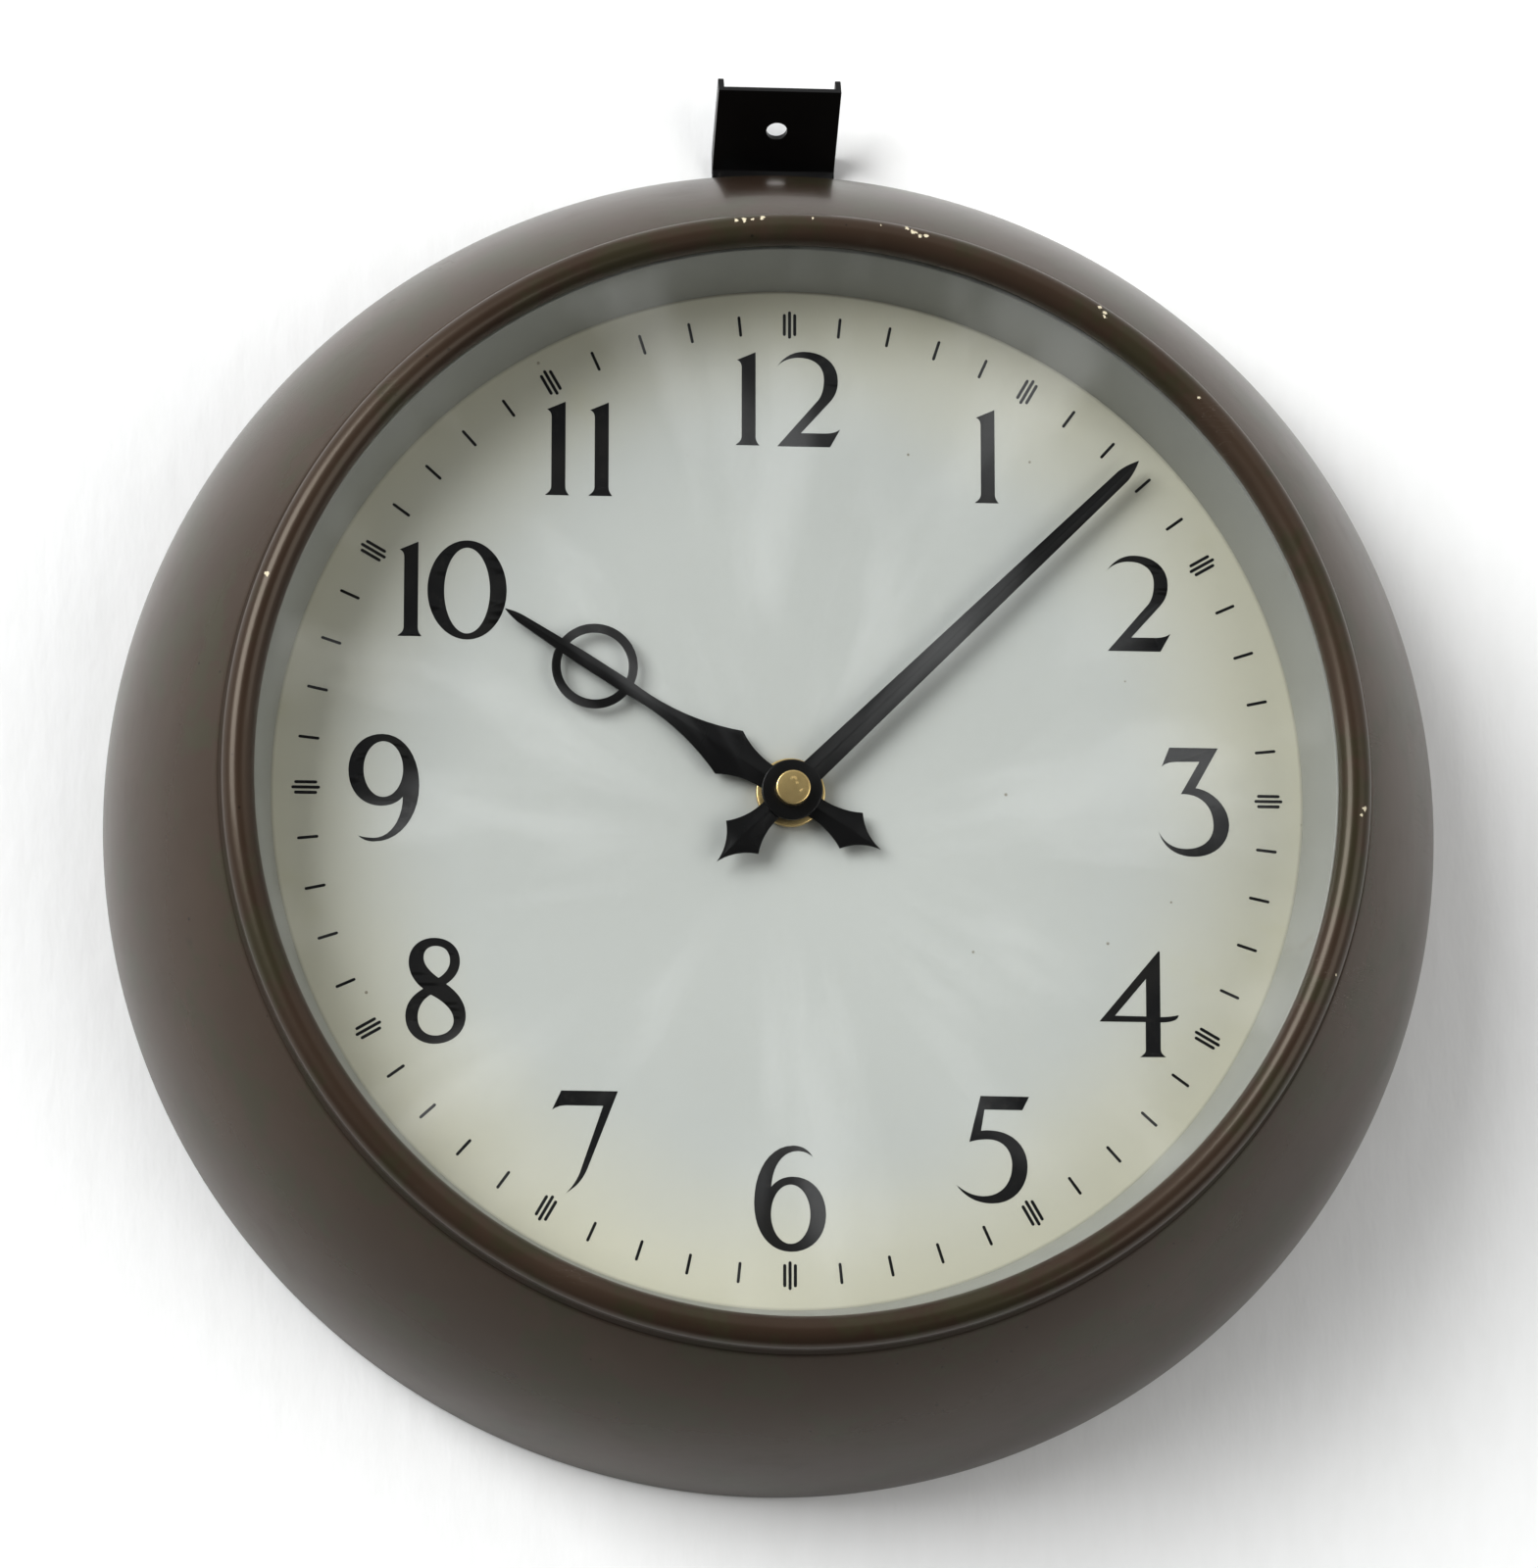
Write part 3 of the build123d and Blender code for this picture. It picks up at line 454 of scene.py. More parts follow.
# %% Number outlines
NUMBERS = {
    "1": """M 0 0 L 5.5 0 C 4.65 1 4.6 1.6 4.6 2.4 L 4.6 22.4 L .25 20.5
            C 1 20.2 1.35 19.6 1.35 18.6 L 1.35 2.2 C 1.35 1.4 .9 .7 0 .15""",
    "2": """M 0 19.25 C 1.6 21.6 3.8 22.85 6.4 22.85 C 10.9 22.85 14.25 20.2 14.25 16
            C 14.25 13.9 13.7 12.4 12.4 10.9 L 5.55 3.25 L 10.6 3.25 C 12.6 3.25 13.8 3.5 14.8 4.3
            L 12.4 0 L 0 0 L 9.65 11.25 C 10.7 12.6 11 14.6 11 16.25 C 11 19.6 8.6 21.4 5.15 21.4
            C 3 21.4 1.2 20.6 0 19.25""",
    "3": """M 2.7 25.75 L 14.1 25.75 L 8.75 16.2 C 12 16 16.5 12.4 16.55 7.7
            C 16.55 3 12.8 0 8.1 0 C 4 0 1 2.2 0 5.8 C 1.2 3.2 3.4 1.8 6.4 1.8
            C 10.2 1.8 12.9 4 12.9 7.4 C 12.9 11.8 10.2 14.7 6 14.8 L 5.3 14.75 L 9.75 22.5
            L 4.6 22.4 C 2.8 22.4 1.6 22 .85 21.2""",
    "4": """M 0 8.2 L .05 8.3 L 13.95 24.9 L 14.2 24.6 L 14.2 9.4 C 15.9 9.4 17.3 9.6 18.45 9.9
            C 18.4 8.9 17.2 8.2 14.2 8.15 L 14.2 1.7 C 14.3 1 14.7 .5 15.45 .05 L 9.35 0
            C 10.2 .5 10.7 1 10.75 1.7 L 10.75 8.2 M 10.9 18.3 L 10.9 9.5 L 3.6 9.6""",
    "5": """M 5.7 24.9 L 16.95 24.8 L 15.35 21.7 L 6.6 21.75 L 5.75 16.8
            C 6.6 16.95 7.4 16.95 8.2 16.9
            C 13 16.7 16.5 13.4 16.5 8.6 C 16.5 3.6 13 0 8.3 0 C 4.6 0 2 1.5 0 4.2
            C 2 2.6 3.8 1.7 6.2 1.65 C 10.2 1.6 12.95 4.6 12.95 8.9
            C 12.95 12.4 10.8 14.85 7.4 14.85
            C 5.6 14.85 4.3 14.6 3.05 14.2""",
    "6": """M 13.5 21.9 C 12.6 23.6 11 24.5 9 24.5 C 3.6 24.5 0 18.6 0 11.2 C 0 4.8 3.2 0 8.5 0
            C 13.2 0 16.55 3.6 16.55 8.6 C 16.55 13.6 13.4 17.3 9 17.3 C 6.8 17.3 5.2 16.5 3.9 14.9
            C 4.2 19.6 6.4 23.2 10 23.25 C 11.4 23.25 12.5 22.8 13.5 21.9 O 8.4 8.65 4.55 6.85""",
    "7": """M 2.1 23.65 L 15.1 23.6 L 8.5 6.5 C 7.6 3.9 6.2 2.2 5.2 1.4 C 4.8 1.1 4.2 .6 3.35 0
            C 5 1.6 6.2 3.6 6.9 6 L 11.75 20.2 L 3.6 20.25 C 2 20.25 .9 19.9 0 19.15""",
    "8": """M 6.55 24.6 C 10.2 24.6 12.4 22.2 12.4 19.2 C 12.4 17 11.2 15.2 9.3 13.9
            C 12 12 13.85 9.6 13.85 6.5 C 13.85 2.8 10.8 0 6.6 0 C 2.8 0 0 2.7 0 6.4
            C 0 9.2 1.5 11.2 4.05 12.75 C 1.9 14.3 .65 16.6 .65 19 C .65 22.2 3 24.6 6.55 24.6
            M 6.8 22.75 C 8.9 22.75 10.15 21.4 10.15 19.3 C 10.15 17.8 9.2 16.3 7.55 15.3
            C 5.4 16.8 4.05 18.4 4.05 20 C 4.05 21.6 5.1 22.75 6.8 22.75
            M 5.8 11.4 C 8.8 9.9 11.1 7.8 11.1 5.5 C 11.1 3.4 9.3 1.9 6.8 1.9
            C 4.4 1.9 2.8 3.7 2.8 6.2 C 2.8 8.4 4 10.4 5.8 11.4""",
    "9": """M 2.35 1.35 C 3.4 .4 4.6 0 6 0 C 12 0 16.35 6 16.35 13.2 C 16.35 20 12.8 25.25 7.8 25.25
            C 3.2 25.25 0 21.6 0 16.8 C 0 11.9 3 8.4 7.4 8.4 C 9.6 8.4 11.3 9.1 12.6 10.6
            C 12.6 5.2 9.8 .9 6 .85 C 4.6 .85 3.4 1 2.35 1.35 O 8.03 17 4.57 6.55""",
    "0": "O 9.18 11.75 9.18 11.75 O 9.18 11.6 5.33 10.18",
}
# hour: the lower left corner of each of its numbers, from the dial's centre
HOURS = [("1", -12.6, 82.85), ("2", -2.9, 82.75), ("1", 43.65, 70.05), ("2", 74.6, 35.25),
         ("3", 86.15, -13.3), ("4", 71.9, -60.5), ("5", 38.4, -94.9), ("6", -8.25, -106.5),
         ("7", -54.75, -93.5), ("8", -88.55, -59.4), ("9", -102.2, -12.5),
         ("1", -91.15, 35.95), ("0", -84.35, 35.35), ("1", -57.1, 70.05), ("1", -47.0, 70.05)]


def bezier(p, q, r, s, steps=10):
    """Cubic curve: (1-t)^3 p + 3t(1-t)^2 q + 3t^2(1-t) r + t^3 s."""
    t = np.linspace(0, 1, steps + 1)[1:, None]
    p, q, r, s = map(np.asarray, (p, q, r, s))
    return (1 - t)**3 * p + 3 * t * (1 - t)**2 * q + 3 * t**2 * (1 - t) * r + t**3 * s


def outlines(text):
    """Read an outline string into closed rings: M starts one, O is an oval."""
    words = text.split()
    rings, at = [], 0
    while at < len(words):
        letter = words[at]
        count = {"M": 2, "L": 2, "C": 6, "O": 4}[letter]
        v = [float(word) for word in words[at + 1:at + 1 + count]]
        at += 1 + count
        if letter == "O":
            turn = np.linspace(0, 2 * np.pi, 64, endpoint=False)[:, None]
            oval = np.concatenate([v[2] * np.cos(turn), v[3] * np.sin(turn)], 1)
            rings.append(np.array(v[:2]) + oval)
        elif letter == "M":
            rings.append(np.array([v]))
        elif letter == "L":
            rings[-1] = np.concatenate([rings[-1], [v]])
        else:
            curve = bezier(rings[-1][-1], v[:2], v[2:4], v[4:])
            rings[-1] = np.concatenate([rings[-1], curve])
    return rings


print("numbers:", {key: len(outlines(text)) for key, text in NUMBERS.items()})

# %% Marks
MARK_RADIUS = 112.0
MINUTE_BAR, HOUR_BAR, SIDE_BAR = (4.9, 0.66), (6.6, 0.7), (5.3, 0.7)
SIDE_STEP = 1.22


def bar(length, width, offset, turn):
    """Bar with round ends, standing along the radius at this turn from twelve."""
    half = math.pi * np.linspace(0, 1, 7)
    cap = np.stack([np.cos(half), np.sin(half)], -1) * width / 2
    straight = length / 2 - width / 2
    ring = np.concatenate([cap + (0, straight), -cap - (0, straight)])
    ring = ring + (offset, MARK_RADIUS)
    c, s = math.cos(turn), math.sin(turn)
    return ring @ np.array([[c, -s], [s, c]])


rings = []
for key, left, low in HOURS:
    rings += [ring + (left, low) for ring in outlines(NUMBERS[key])]
for minute in range(60):
    turn = math.radians(6 * minute)
    if minute % 5:
        rings.append(bar(*MINUTE_BAR, 0.0, turn))
    else:
        rings.append(bar(*HOUR_BAR, 0.0, turn))
        rings.append(bar(*SIDE_BAR, -SIDE_STEP, turn))
        rings.append(bar(*SIDE_BAR, SIDE_STEP, turn))
print("print:", len(rings), "rings")

# %% Fill the print and lay it on the dial
INK = 0.03


def filled(name, rings, thick):
    """Flat curve filled between its rings, as a thin solid mesh facing +Z."""
    curve = bpy.data.curves.new(name, "CURVE")
    curve.dimensions, curve.fill_mode = "2D", "BOTH"
    curve.extrude = thick / 2
    for ring in rings:
        spline = curve.splines.new("POLY")
        spline.points.add(len(ring) - 1)
        column = np.zeros((len(ring), 1))
        flat = np.concatenate([ring, column, column + 1.0], 1)
        spline.points.foreach_set("co", flat.ravel().astype(np.float32))
        spline.use_cyclic_u = True
    holder = bpy.data.objects.new(name, curve)
    bpy.context.scene.collection.objects.link(holder)
    bpy.context.view_layer.update()
    mesh = bpy.data.meshes.new_from_object(
        holder.evaluated_get(bpy.context.evaluated_depsgraph_get()))
    bpy.data.objects.remove(holder)
    return welded(mesh)


def stand_up(mesh, height):
    """Turn a flat mesh drawn in mm to face the room, this high off the wall."""
    count = len(mesh.vertices)
    points = np.empty(count * 3)
    mesh.vertices.foreach_get("co", points)
    points = points.reshape(-1, 3)
    stood = np.stack([points[:, 0], -(points[:, 2] + height), points[:, 1]], -1) * MM
    mesh.vertices.foreach_set("co", stood.ravel())
    mesh.update()
    return mesh


ink_mesh = stand_up(filled("dial_print", rings, INK * 2), DIAL_FACE)
fit(placed("dial_print", ink_mesh, 30), "case", "black_paint")

# %% [markdown]
# ## The hands
# Each hand is stamped from thin sheet and pressed so that it rises a little along
# its middle.  Its outline is given as half widths along its length: a long taper,
# and a fishtail behind the centre.  Every point of that outline becomes a
# cross-section, and the sections are joined from tip to tail.

# %% Hand shapes
HAND_SHEET = 0.6
CROWN = 0.45


def half_outline(parts):
    """Join lines (two points) and arcs (three points) into (half width, along)."""
    runs = []
    for part in parts:
        if len(part) == 2:
            t = np.linspace(0, 1, 12)[:, None]
            runs.append(np.array(part[0]) * (1 - t) + np.array(part[1]) * t)
        else:
            runs.append(arc(*part, steps=10))
    points = np.concatenate(runs)
    keep = np.concatenate([[True], np.linalg.norm(np.diff(points, axis=0), axis=1) > 1e-4])
    return points[keep]


def blade(name, parts, turn, height):
    """Hand blade: sections across the outline, crowned by CROWN * (1 - |u|)^1.3.

    u runs from -1 to 1 across the hand.  The crown fades where the hand is
    narrow, and the lower face is flat.
    """
    outline = half_outline(parts)
    u = np.array([-1, -1, -0.94, -0.8, -0.55, -0.3, -0.1, 0, 0.1, 0.3, 0.55, 0.8, 0.94,
                  1, 1, 0.5, 0, -0.5])
    top = np.array([0, .72, 1, 1, 1, 1, 1, 1, 1, 1, 1, 1, 1, .72, 0, 0, 0, 0])
    wide, along = outline[:, :1], outline[:, 1:]
    crown = CROWN * np.clip(wide / 3.0, 0, 1) * (1 - np.abs(u))**1.3 * (top > 0)
    x = wide * u
    z = height + HAND_SHEET * top + crown
    y = along + 0 * u
    c, s = math.cos(turn), math.sin(turn)
    grid = np.stack([c * x + s * y, -z, -s * x + c * y], -1) * MM
    return closed_mesh(name, grid, wrap=(False, True), sharp_degrees=28)


MINUTE_TURN, HOUR_TURN = math.radians(45.7), math.radians(302.4)
MINUTE_HEIGHT = -float(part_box("minute_hand")[1].y) / MM
HOUR_HEIGHT = -float(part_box("hour_hand")[1].y) / MM
minute_parts = [
    [(0, 114.1), (1.05, 111.5), (1.6, 108.9)], [(1.6, 108.9), (2.85, 6)], [(2.85, 6), (2.6, -6)],
    [(2.6, -6), (2.9, -10.4), (5.35, -16)], [(5.35, -16), (2.25, -19), (0, -24.2)]]
hour_parts = [
    [(0, 78.7), (.75, 76.2), (1.05, 73.4)], [(1.05, 73.4), (1.65, 58)], [(1.65, 58), (1.65, 45)],
    [(1.65, 45), (2.55, 28), (6, 17)], [(6, 17), (3.6, 11.5), (3, 5)], [(3, 5), (2.6, -6)],
    [(2.6, -6), (2.85, -10.7), (5, -16.6)], [(5, -16.6), (2.1, -19.5), (0, -24.6)]]
fit(blade("minute_blade", minute_parts, MINUTE_TURN, MINUTE_HEIGHT),
    "minute_arbor", "black_paint", "minute_hand")
fit(blade("hour_blade", hour_parts, HOUR_TURN, HOUR_HEIGHT),
    "hour_pipe", "black_paint", "hour_hand")

# %% [markdown]
# The hour hand carries a ring near its point and a disc at its hub.  The ring is
# a small rounded section carried round a circle; both lie in the hand's sheet.

# %% Ring and hub of the hour hand
RING_AT, RING_OUTER, RING_INNER = 54.0, 10.0, 7.9
BORE = 4.0
SMALL_TURNS = 96


def off_axis(piece, radius, turn):
    """Shift a turned piece from the dial's axis out along a hand."""
    points = np.empty(len(piece.data.vertices) * 3)
    piece.data.vertices.foreach_get("co", points)
    points = points.reshape(-1, 3) + np.array([math.sin(turn), 0, math.cos(turn)]) * radius * MM
    piece.data.vertices.foreach_set("co", points.ravel())
    piece.data.update()
    return piece


def washer(inner, outer, low, high, ease):
    """Square section of a flat ring, with its corners eased."""
    return eased([(inner, low), (outer, low), (outer, high), (inner, high)], ease)


HOUR_TOP = HOUR_HEIGHT + HAND_SHEET
ring_cut = washer(RING_INNER, RING_OUTER, HOUR_HEIGHT, HOUR_TOP, 0.22)
fit(off_axis(turned("hour_ring", ring_cut, turns=SMALL_TURNS), RING_AT, HOUR_TURN),
    "hour_pipe", "black_paint")
hub_cut = washer(BORE, 6.2, HOUR_HEIGHT, HOUR_TOP, 0.15)
fit(turned("hour_hub", hub_cut, turns=SMALL_TURNS), "hour_pipe", "black_paint")

# %% Collet, boss and nut
COLLET_THICK, BOSS_THICK, NUT_RADIUS = 1.8, 1.3, 4.0
collet_cut = washer(BORE, 8.0, HOUR_HEIGHT - COLLET_THICK, HOUR_HEIGHT, 0.3)
fit(turned("brass_collet", collet_cut, turns=SMALL_TURNS), "hour_pipe", "brass", "hour_collet")
boss_low = MINUTE_HEIGHT + HAND_SHEET
boss_cut = washer(1.5, 7.1, boss_low, boss_low + BOSS_THICK, 0.4)
fit(turned("hand_boss", boss_cut, turns=SMALL_TURNS),
    "minute_arbor", "black_paint", "minute_boss")
nut_low, nut_top = boss_low + BOSS_THICK, -float(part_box("hand_nut")[0].y) / MM
nut_outline = [(0, nut_low), (NUT_RADIUS, nut_low), (NUT_RADIUS, nut_top), (0, nut_top)]
fit(turned_disc("brass_nut", eased_path(nut_outline, 0.35), turns=SMALL_TURNS),
    "minute_arbor", "brass", "hand_nut")

# %% [markdown]
# ## Folded and cut parts with softened edges
# The lug, the back plate and the screw heads are right as the CAD has them, but
# real cut steel has no razor edges.  A copy of each is welded, its flat faces are
# joined, and a Bevel modifier takes a fine line off every sharp edge.

# %% Softened copies
def softened(node, name, width, angle=35.0):
    """Copy of a CAD node with welded faces and a small bevel on its edges."""
    mesh = frame["nodes"][node].data.copy()
    mesh.name = name
    mesh.materials.clear()
    work = bmesh.new()
    work.from_mesh(mesh)
    bmesh.ops.remove_doubles(work, verts=work.verts, dist=2e-6)
    bmesh.ops.dissolve_limit(work, angle_limit=math.radians(1.0),
                             verts=work.verts, edges=work.edges)
    bmesh.ops.recalc_face_normals(work, faces=work.faces)
    work.to_mesh(mesh)
    work.free()
    piece = placed(name, mesh, angle)
    bevel = piece.modifiers.new("edge", "BEVEL")
    bevel.width, bevel.segments, bevel.limit_method = width * MM, 2, "ANGLE"
    bevel.angle_limit = math.radians(angle)
    bevel.harden_normals = True
    return piece


fit(softened("hanging_lug", "lug", 0.22), "case", "black_paint", "hanging_lug")
fit(softened("back_plate", "back_disc", 0.15), "case", "zinc_steel", "back_plate")
fit(softened("back_screws", "back_screw_heads", 0.12), "case", "zinc_steel", "back_screws")

# %% [markdown]
# ## Finishes
# The paint on the case is dark brown enamel, baked on by a works painter: nearly
# even in colour, with a gloss that shows the pale room, a faint orange peel, grime
# and small chips through to a cream primer where the bezel is gripped.  Each chip
# is listed by its angle and its distance from the axis, and noise tears its
# outline.  Grime, smudges, specks and hairlines have no list: noise places them.

# %% Case enamel
# chip: degrees from twelve, millimetres from the axis, size in millimetres
CHIPS = [(-6.6, 129.8, 0.5), (-5.8, 129.9, 0.6), (-4.9, 129.9, 0.4), (-3.9, 130.1, 0.6),
         (1.2, 129.9, 0.35), (8.2, 130.2, 0.3), (10.9, 130.5, 0.55), (11.6, 129.9, 0.7),
         (12.3, 129.2, 0.45), (13.0, 129.6, 0.5), (32.2, 130.3, 0.5), (32.9, 129.7, 0.6),
         (33.1, 128.8, 0.45), (46.0, 128.2, 0.4), (93.0, 129.6, 0.55), (93.7, 128.8, 0.4),
         (110.3, 130.5, 0.25), (289.7, 129.6, 0.5)]


def chipped(f):
    """1 inside each chip: its distance is bent by noise for a torn outline."""
    torn = f.noise(1500.0, 3.0, 0.6) * 4.0 - 1.9
    found = 0.0
    for angle, radius, size in CHIPS:
        turn = math.radians(angle)
        dx = f.x * PER_METRE - radius * math.sin(turn)
        dz = f.z * PER_METRE - radius * math.cos(turn)
        away = (dx * dx + dz * dz) ** 0.5 + torn * size
        found = away.between(size * 1.02, size * 0.92) + found
    return found.math("MINIMUM", 1.0) * (f.y * -PER_METRE).between(70.0, 71.0)


def scratches(f):
    """Short hairlines across the side, in a few patches that noise picks."""
    line = f.noise(150.0, 2.0, 0.4, f.stretched((1.0, 0.25, 5.0)))
    fine = line.between(0.495, 0.5) * line.between(0.505, 0.5)
    return fine * f.noise(19.0, 2.0, 0.5).between(0.62, 0.68)


def case_enamel():
    """Brown enamel: dark and glossy, mottled, with grime, hairlines, chips and painted shade where
    the bead meets the case.
    """
    f = Finish("case_paint", IOR=1.4)
    f.set(f.shader, {"Specular Tint": (1.0, 0.90, 0.76),
                     "Coat Roughness": 0.07, "Coat IOR": 1.4})
    cloud = f.noise(8.0, 4.0, 0.6)
    tint = f.noise(46.0, 4.0, 0.7)
    grime = f.noise(75.0, 5.0, 0.65)
    colour = f.blend((0.040, 0.0248, 0.0165), (0.060, 0.0405, 0.028), cloud.between(0.3, 0.7))
    colour = f.blend(colour, (0.040, 0.036, 0.0195), tint.between(0.48, 0.62) * 0.85)
    colour = f.blend(colour, (0.07, 0.056, 0.045), grime.between(0.56, 0.8) * 0.3)
    smudge = (f.noise(26.0, 4.0, 0.6).between(0.64, 0.70)
              * f.noise(170.0, 3.0, 0.6).between(0.4, 0.65))
    colour = f.blend(colour, (0.016, 0.0115, 0.009), smudge * 0.6)
    speck = f.cells(210.0).between(0.09, 0.05) * f.noise(33.0, 1.0).between(0.52, 0.6)
    colour = f.blend(colour, (0.008, 0.006, 0.005), speck * 0.7)
    scratch = scratches(f)
    colour = f.blend(colour, (0.16, 0.13, 0.11), scratch * 0.7)
    chip = chipped(f)
    colour = f.blend(colour, (0.64, 0.58, 0.44), chip)
    dull = grime.between(0.5, 0.8)
    r = f.radius()
    bead = r.between(132.2, 131.2)
    # A band where the bead's foot meets the case: painted shade, which darkens the colour in the
    # gap. The same band is made rougher and loses its coat.
    groove_shade = r.between(131.45, 131.7) * r.between(132.75, 132.45)
    colour = f.blend(colour, (0.016, 0.011, 0.008), groove_shade * 0.4)
    roughness = (0.19 + 0.12 * cloud + 0.06 * bead + 0.5 * groove_shade
                 + 0.3 * chip + 0.2 * scratch)
    f.feed(base=colour, roughness=roughness,
           coat=(0.12 - 0.1 * dull) * (1 - chip) * (1 - groove_shade))
    peel = f.noise(520.0, 2.0, 0.5) * 0.6 + f.noise(170.0, 2.0, 0.5) * 0.4
    f.relief(peel * (1 - chip * 0.6) - chip * 2.0 - scratch, 0.00005, 0.55)
    return f.material


# %% Black enamel and printing ink
def black_enamel():
    """Stove enamel on hands and lug: black and satin, with a little dust."""
    f = Finish("black_paint", IOR=1.38)
    dust = f.noise(240.0, 4.0, 0.6)
    cloud = f.noise(35.0, 3.0, 0.55)
    colour = f.blend((0.003, 0.003, 0.0035), (0.007, 0.0065, 0.0065), cloud)
    colour = f.blend(colour, (0.12, 0.11, 0.10), dust.between(0.72, 0.8) * 0.4)
    f.feed(base=colour, roughness=0.22 + 0.15 * cloud)
    f.relief(f.noise(700.0, 2.0, 0.5), 0.00003, 0.3)
    return f.material


def printing_ink():
    """Ink on the dial: warm black, slightly thin where the plate was uneven."""
    f = Finish("dial_ink", IOR=1.3)
    patch = f.noise(420.0, 4.0, 0.65)
    thin = f.noise(45.0, 2.0, 0.5)
    colour = f.blend((0.006, 0.006, 0.007), (0.020, 0.019, 0.018), patch.between(0.5, 0.75))
    colour = f.blend(colour, (0.016, 0.015, 0.014), thin.between(0.45, 0.7))
    f.feed(base=colour, roughness=0.55 + 0.15 * patch)
    f.relief(patch, 0.00001, 0.3)
    return f.material


# %% Dial paint
def dial_paint():
    """Silvered cream paint: cooler in the middle, yellowed outwards, with specks, and a painted
    shadow round its edge under the cone, deeper at twelve.
    """
    f = Finish("dial_paint", IOR=1.45)
    r = f.radius()
    cloud = f.noise(14.0, 4.0, 0.6)
    age = (r + cloud * 26.0 - 13.0).between(78.0, 124.0)
    colour = f.blend((0.525, 0.535, 0.52), (0.60, 0.58, 0.485), age)
    yellow = f.noise(38.0, 5.0, 0.6).between(0.58, 0.8) * age
    colour = f.blend(colour, (0.54, 0.52, 0.39), yellow * 0.6)
    mottle = f.noise(900.0, 3.0, 0.6)
    colour = f.blend(colour, (0.50, 0.50, 0.45), mottle.between(0.55, 0.85) * 0.35)
    specks = f.cells(95.0).between(0.045, 0.03) * f.noise(120.0, 1.0).between(0.5, 0.62)
    colour = f.blend(colour, (0.20, 0.17, 0.12), specks * 0.75)
    # Painted shadow in a thin ring where the cone stands on the dial, made darker towards twelve as
    # painted shade from the bezel above.
    ring_foot_shadow = r.between(119.25, 119.95)
    twelve = 0.35 * f.hour().between(-1.5, 0.0) * f.hour().between(1.5, 0.0)
    colour = f.blend(colour, (0.12, 0.11, 0.09), ring_foot_shadow * (0.25 + twelve))
    f.feed(base=colour, roughness=0.46 + 0.12 * mottle)
    f.relief(mottle * 0.6 + f.noise(220.0, 2.0, 0.5) * 0.4, 0.00002, 0.35)
    return f.material


# %% Ring paint
def ring_paint():
    """Grey-green satin on the cone, with faint drips and rubbed patches."""
    f = Finish("ring_paint", IOR=1.45)
    cloud = f.noise(26.0, 4.0, 0.6)
    stain = f.noise(90.0, 5.0, 0.6, f.stretched((1.0, 0.35, 1.0)))
    colour = f.blend((0.30, 0.30, 0.28), (0.38, 0.38, 0.355), cloud)
    colour = f.blend(colour, (0.27, 0.26, 0.21), stain.between(0.62, 0.8) * 0.5)
    f.feed(base=colour, roughness=0.38 + 0.2 * cloud)
    f.relief(f.noise(600.0, 2.0, 0.5), 0.00002, 0.35)
    return f.material


# %% [markdown]
# Flat glass is two things at once: clear where one looks straight through it and
# a mirror at a slant.  A Fresnel value mixes a transparent shader with a glossy
# one, which also lets the light reach the dial.  A thin film of wiped dust, laid
# in broad soft strokes, is mixed on top.

# %% Glass
def pane():
    """Clear flat glass with the strokes of an old wipe across it."""
    f = Finish("glass", IOR=1.5)
    f.set(f.shader, {"Base Color": (0.94, 0.95, 0.95), "Roughness": 0.9})
    clear = f.node("ShaderNodeBsdfTransparent", {}, {"Color": (0.985, 0.99, 0.985)})
    mirror = f.node("ShaderNodeBsdfGlossy", {}, {"Color": (1.0, 1.0, 1.0), "Roughness": 0.02})
    slant = Value(f, f.node("ShaderNodeFresnel", {}, {"IOR": 1.5}).outputs[0])
    inner = Value(f, f.node("ShaderNodeNewGeometry", {}, {}).outputs["Backfacing"])
    through = f.node("ShaderNodeMixShader", {},
                     {0: slant * (1 - inner), 1: clear.outputs[0], 2: mirror.outputs[0]})
    across, up = f.x + 0.004, f.z + 0.016
    away = (across * across + up * up) ** 0.5
    fan = f.node("ShaderNodeCombineXYZ", {}, {0: across / away, 1: up / away, 2: away * 4.0})
    stroke = f.noise(3.6, 2.5, 0.55, fan.outputs[0]).between(0.46, 0.70)
    wipe = stroke * away.between(0.01, 0.06)
    dust = f.noise(1400.0, 2.0, 0.5).between(0.6, 0.85)
    film = (wipe * 0.085 + dust * 0.003) * (1 - inner)
    both = f.node("ShaderNodeMixShader", {},
                  {0: film, 1: through.outputs[0], 2: f.shader.outputs[0]})
    f.set(f.output, {"Surface": both.outputs[0]})
    return f.material


# %% [markdown]
# ## Bare metals and mouldings
# Inside, each part has the finish its maker gave it: lacquered brass with a brushed
# grain, dull zinc plate with a bloom, ground steel, blued springs.  One function
# makes them all: a base, a second colour that noise blends in, a brushed grain and
# a few specks of tarnish.

# %% Metals
def metal(name, base, worn, tarnish, roughness):
    """Metal with brushed grain, cloudy wear and specks of tarnish."""
    f = Finish(name, Metallic=1.0)
    cloud = f.noise(70.0, 4.0, 0.6)
    brushed = f.noise(900.0, 3.0, 0.6, f.stretched((1.0, 1.0, 12.0)))
    spots = f.noise(330.0, 4.0, 0.65).between(0.62, 0.72)
    colour = f.blend(base, worn, cloud.between(0.35, 0.7))
    colour = f.blend(colour, tarnish, spots * 0.35)
    f.feed(base=colour, roughness=roughness + 0.16 * brushed + 0.2 * spots,
           metallic=1.0 - 0.35 * spots)
    f.relief(brushed, 0.00001, 0.5)
    return f.material


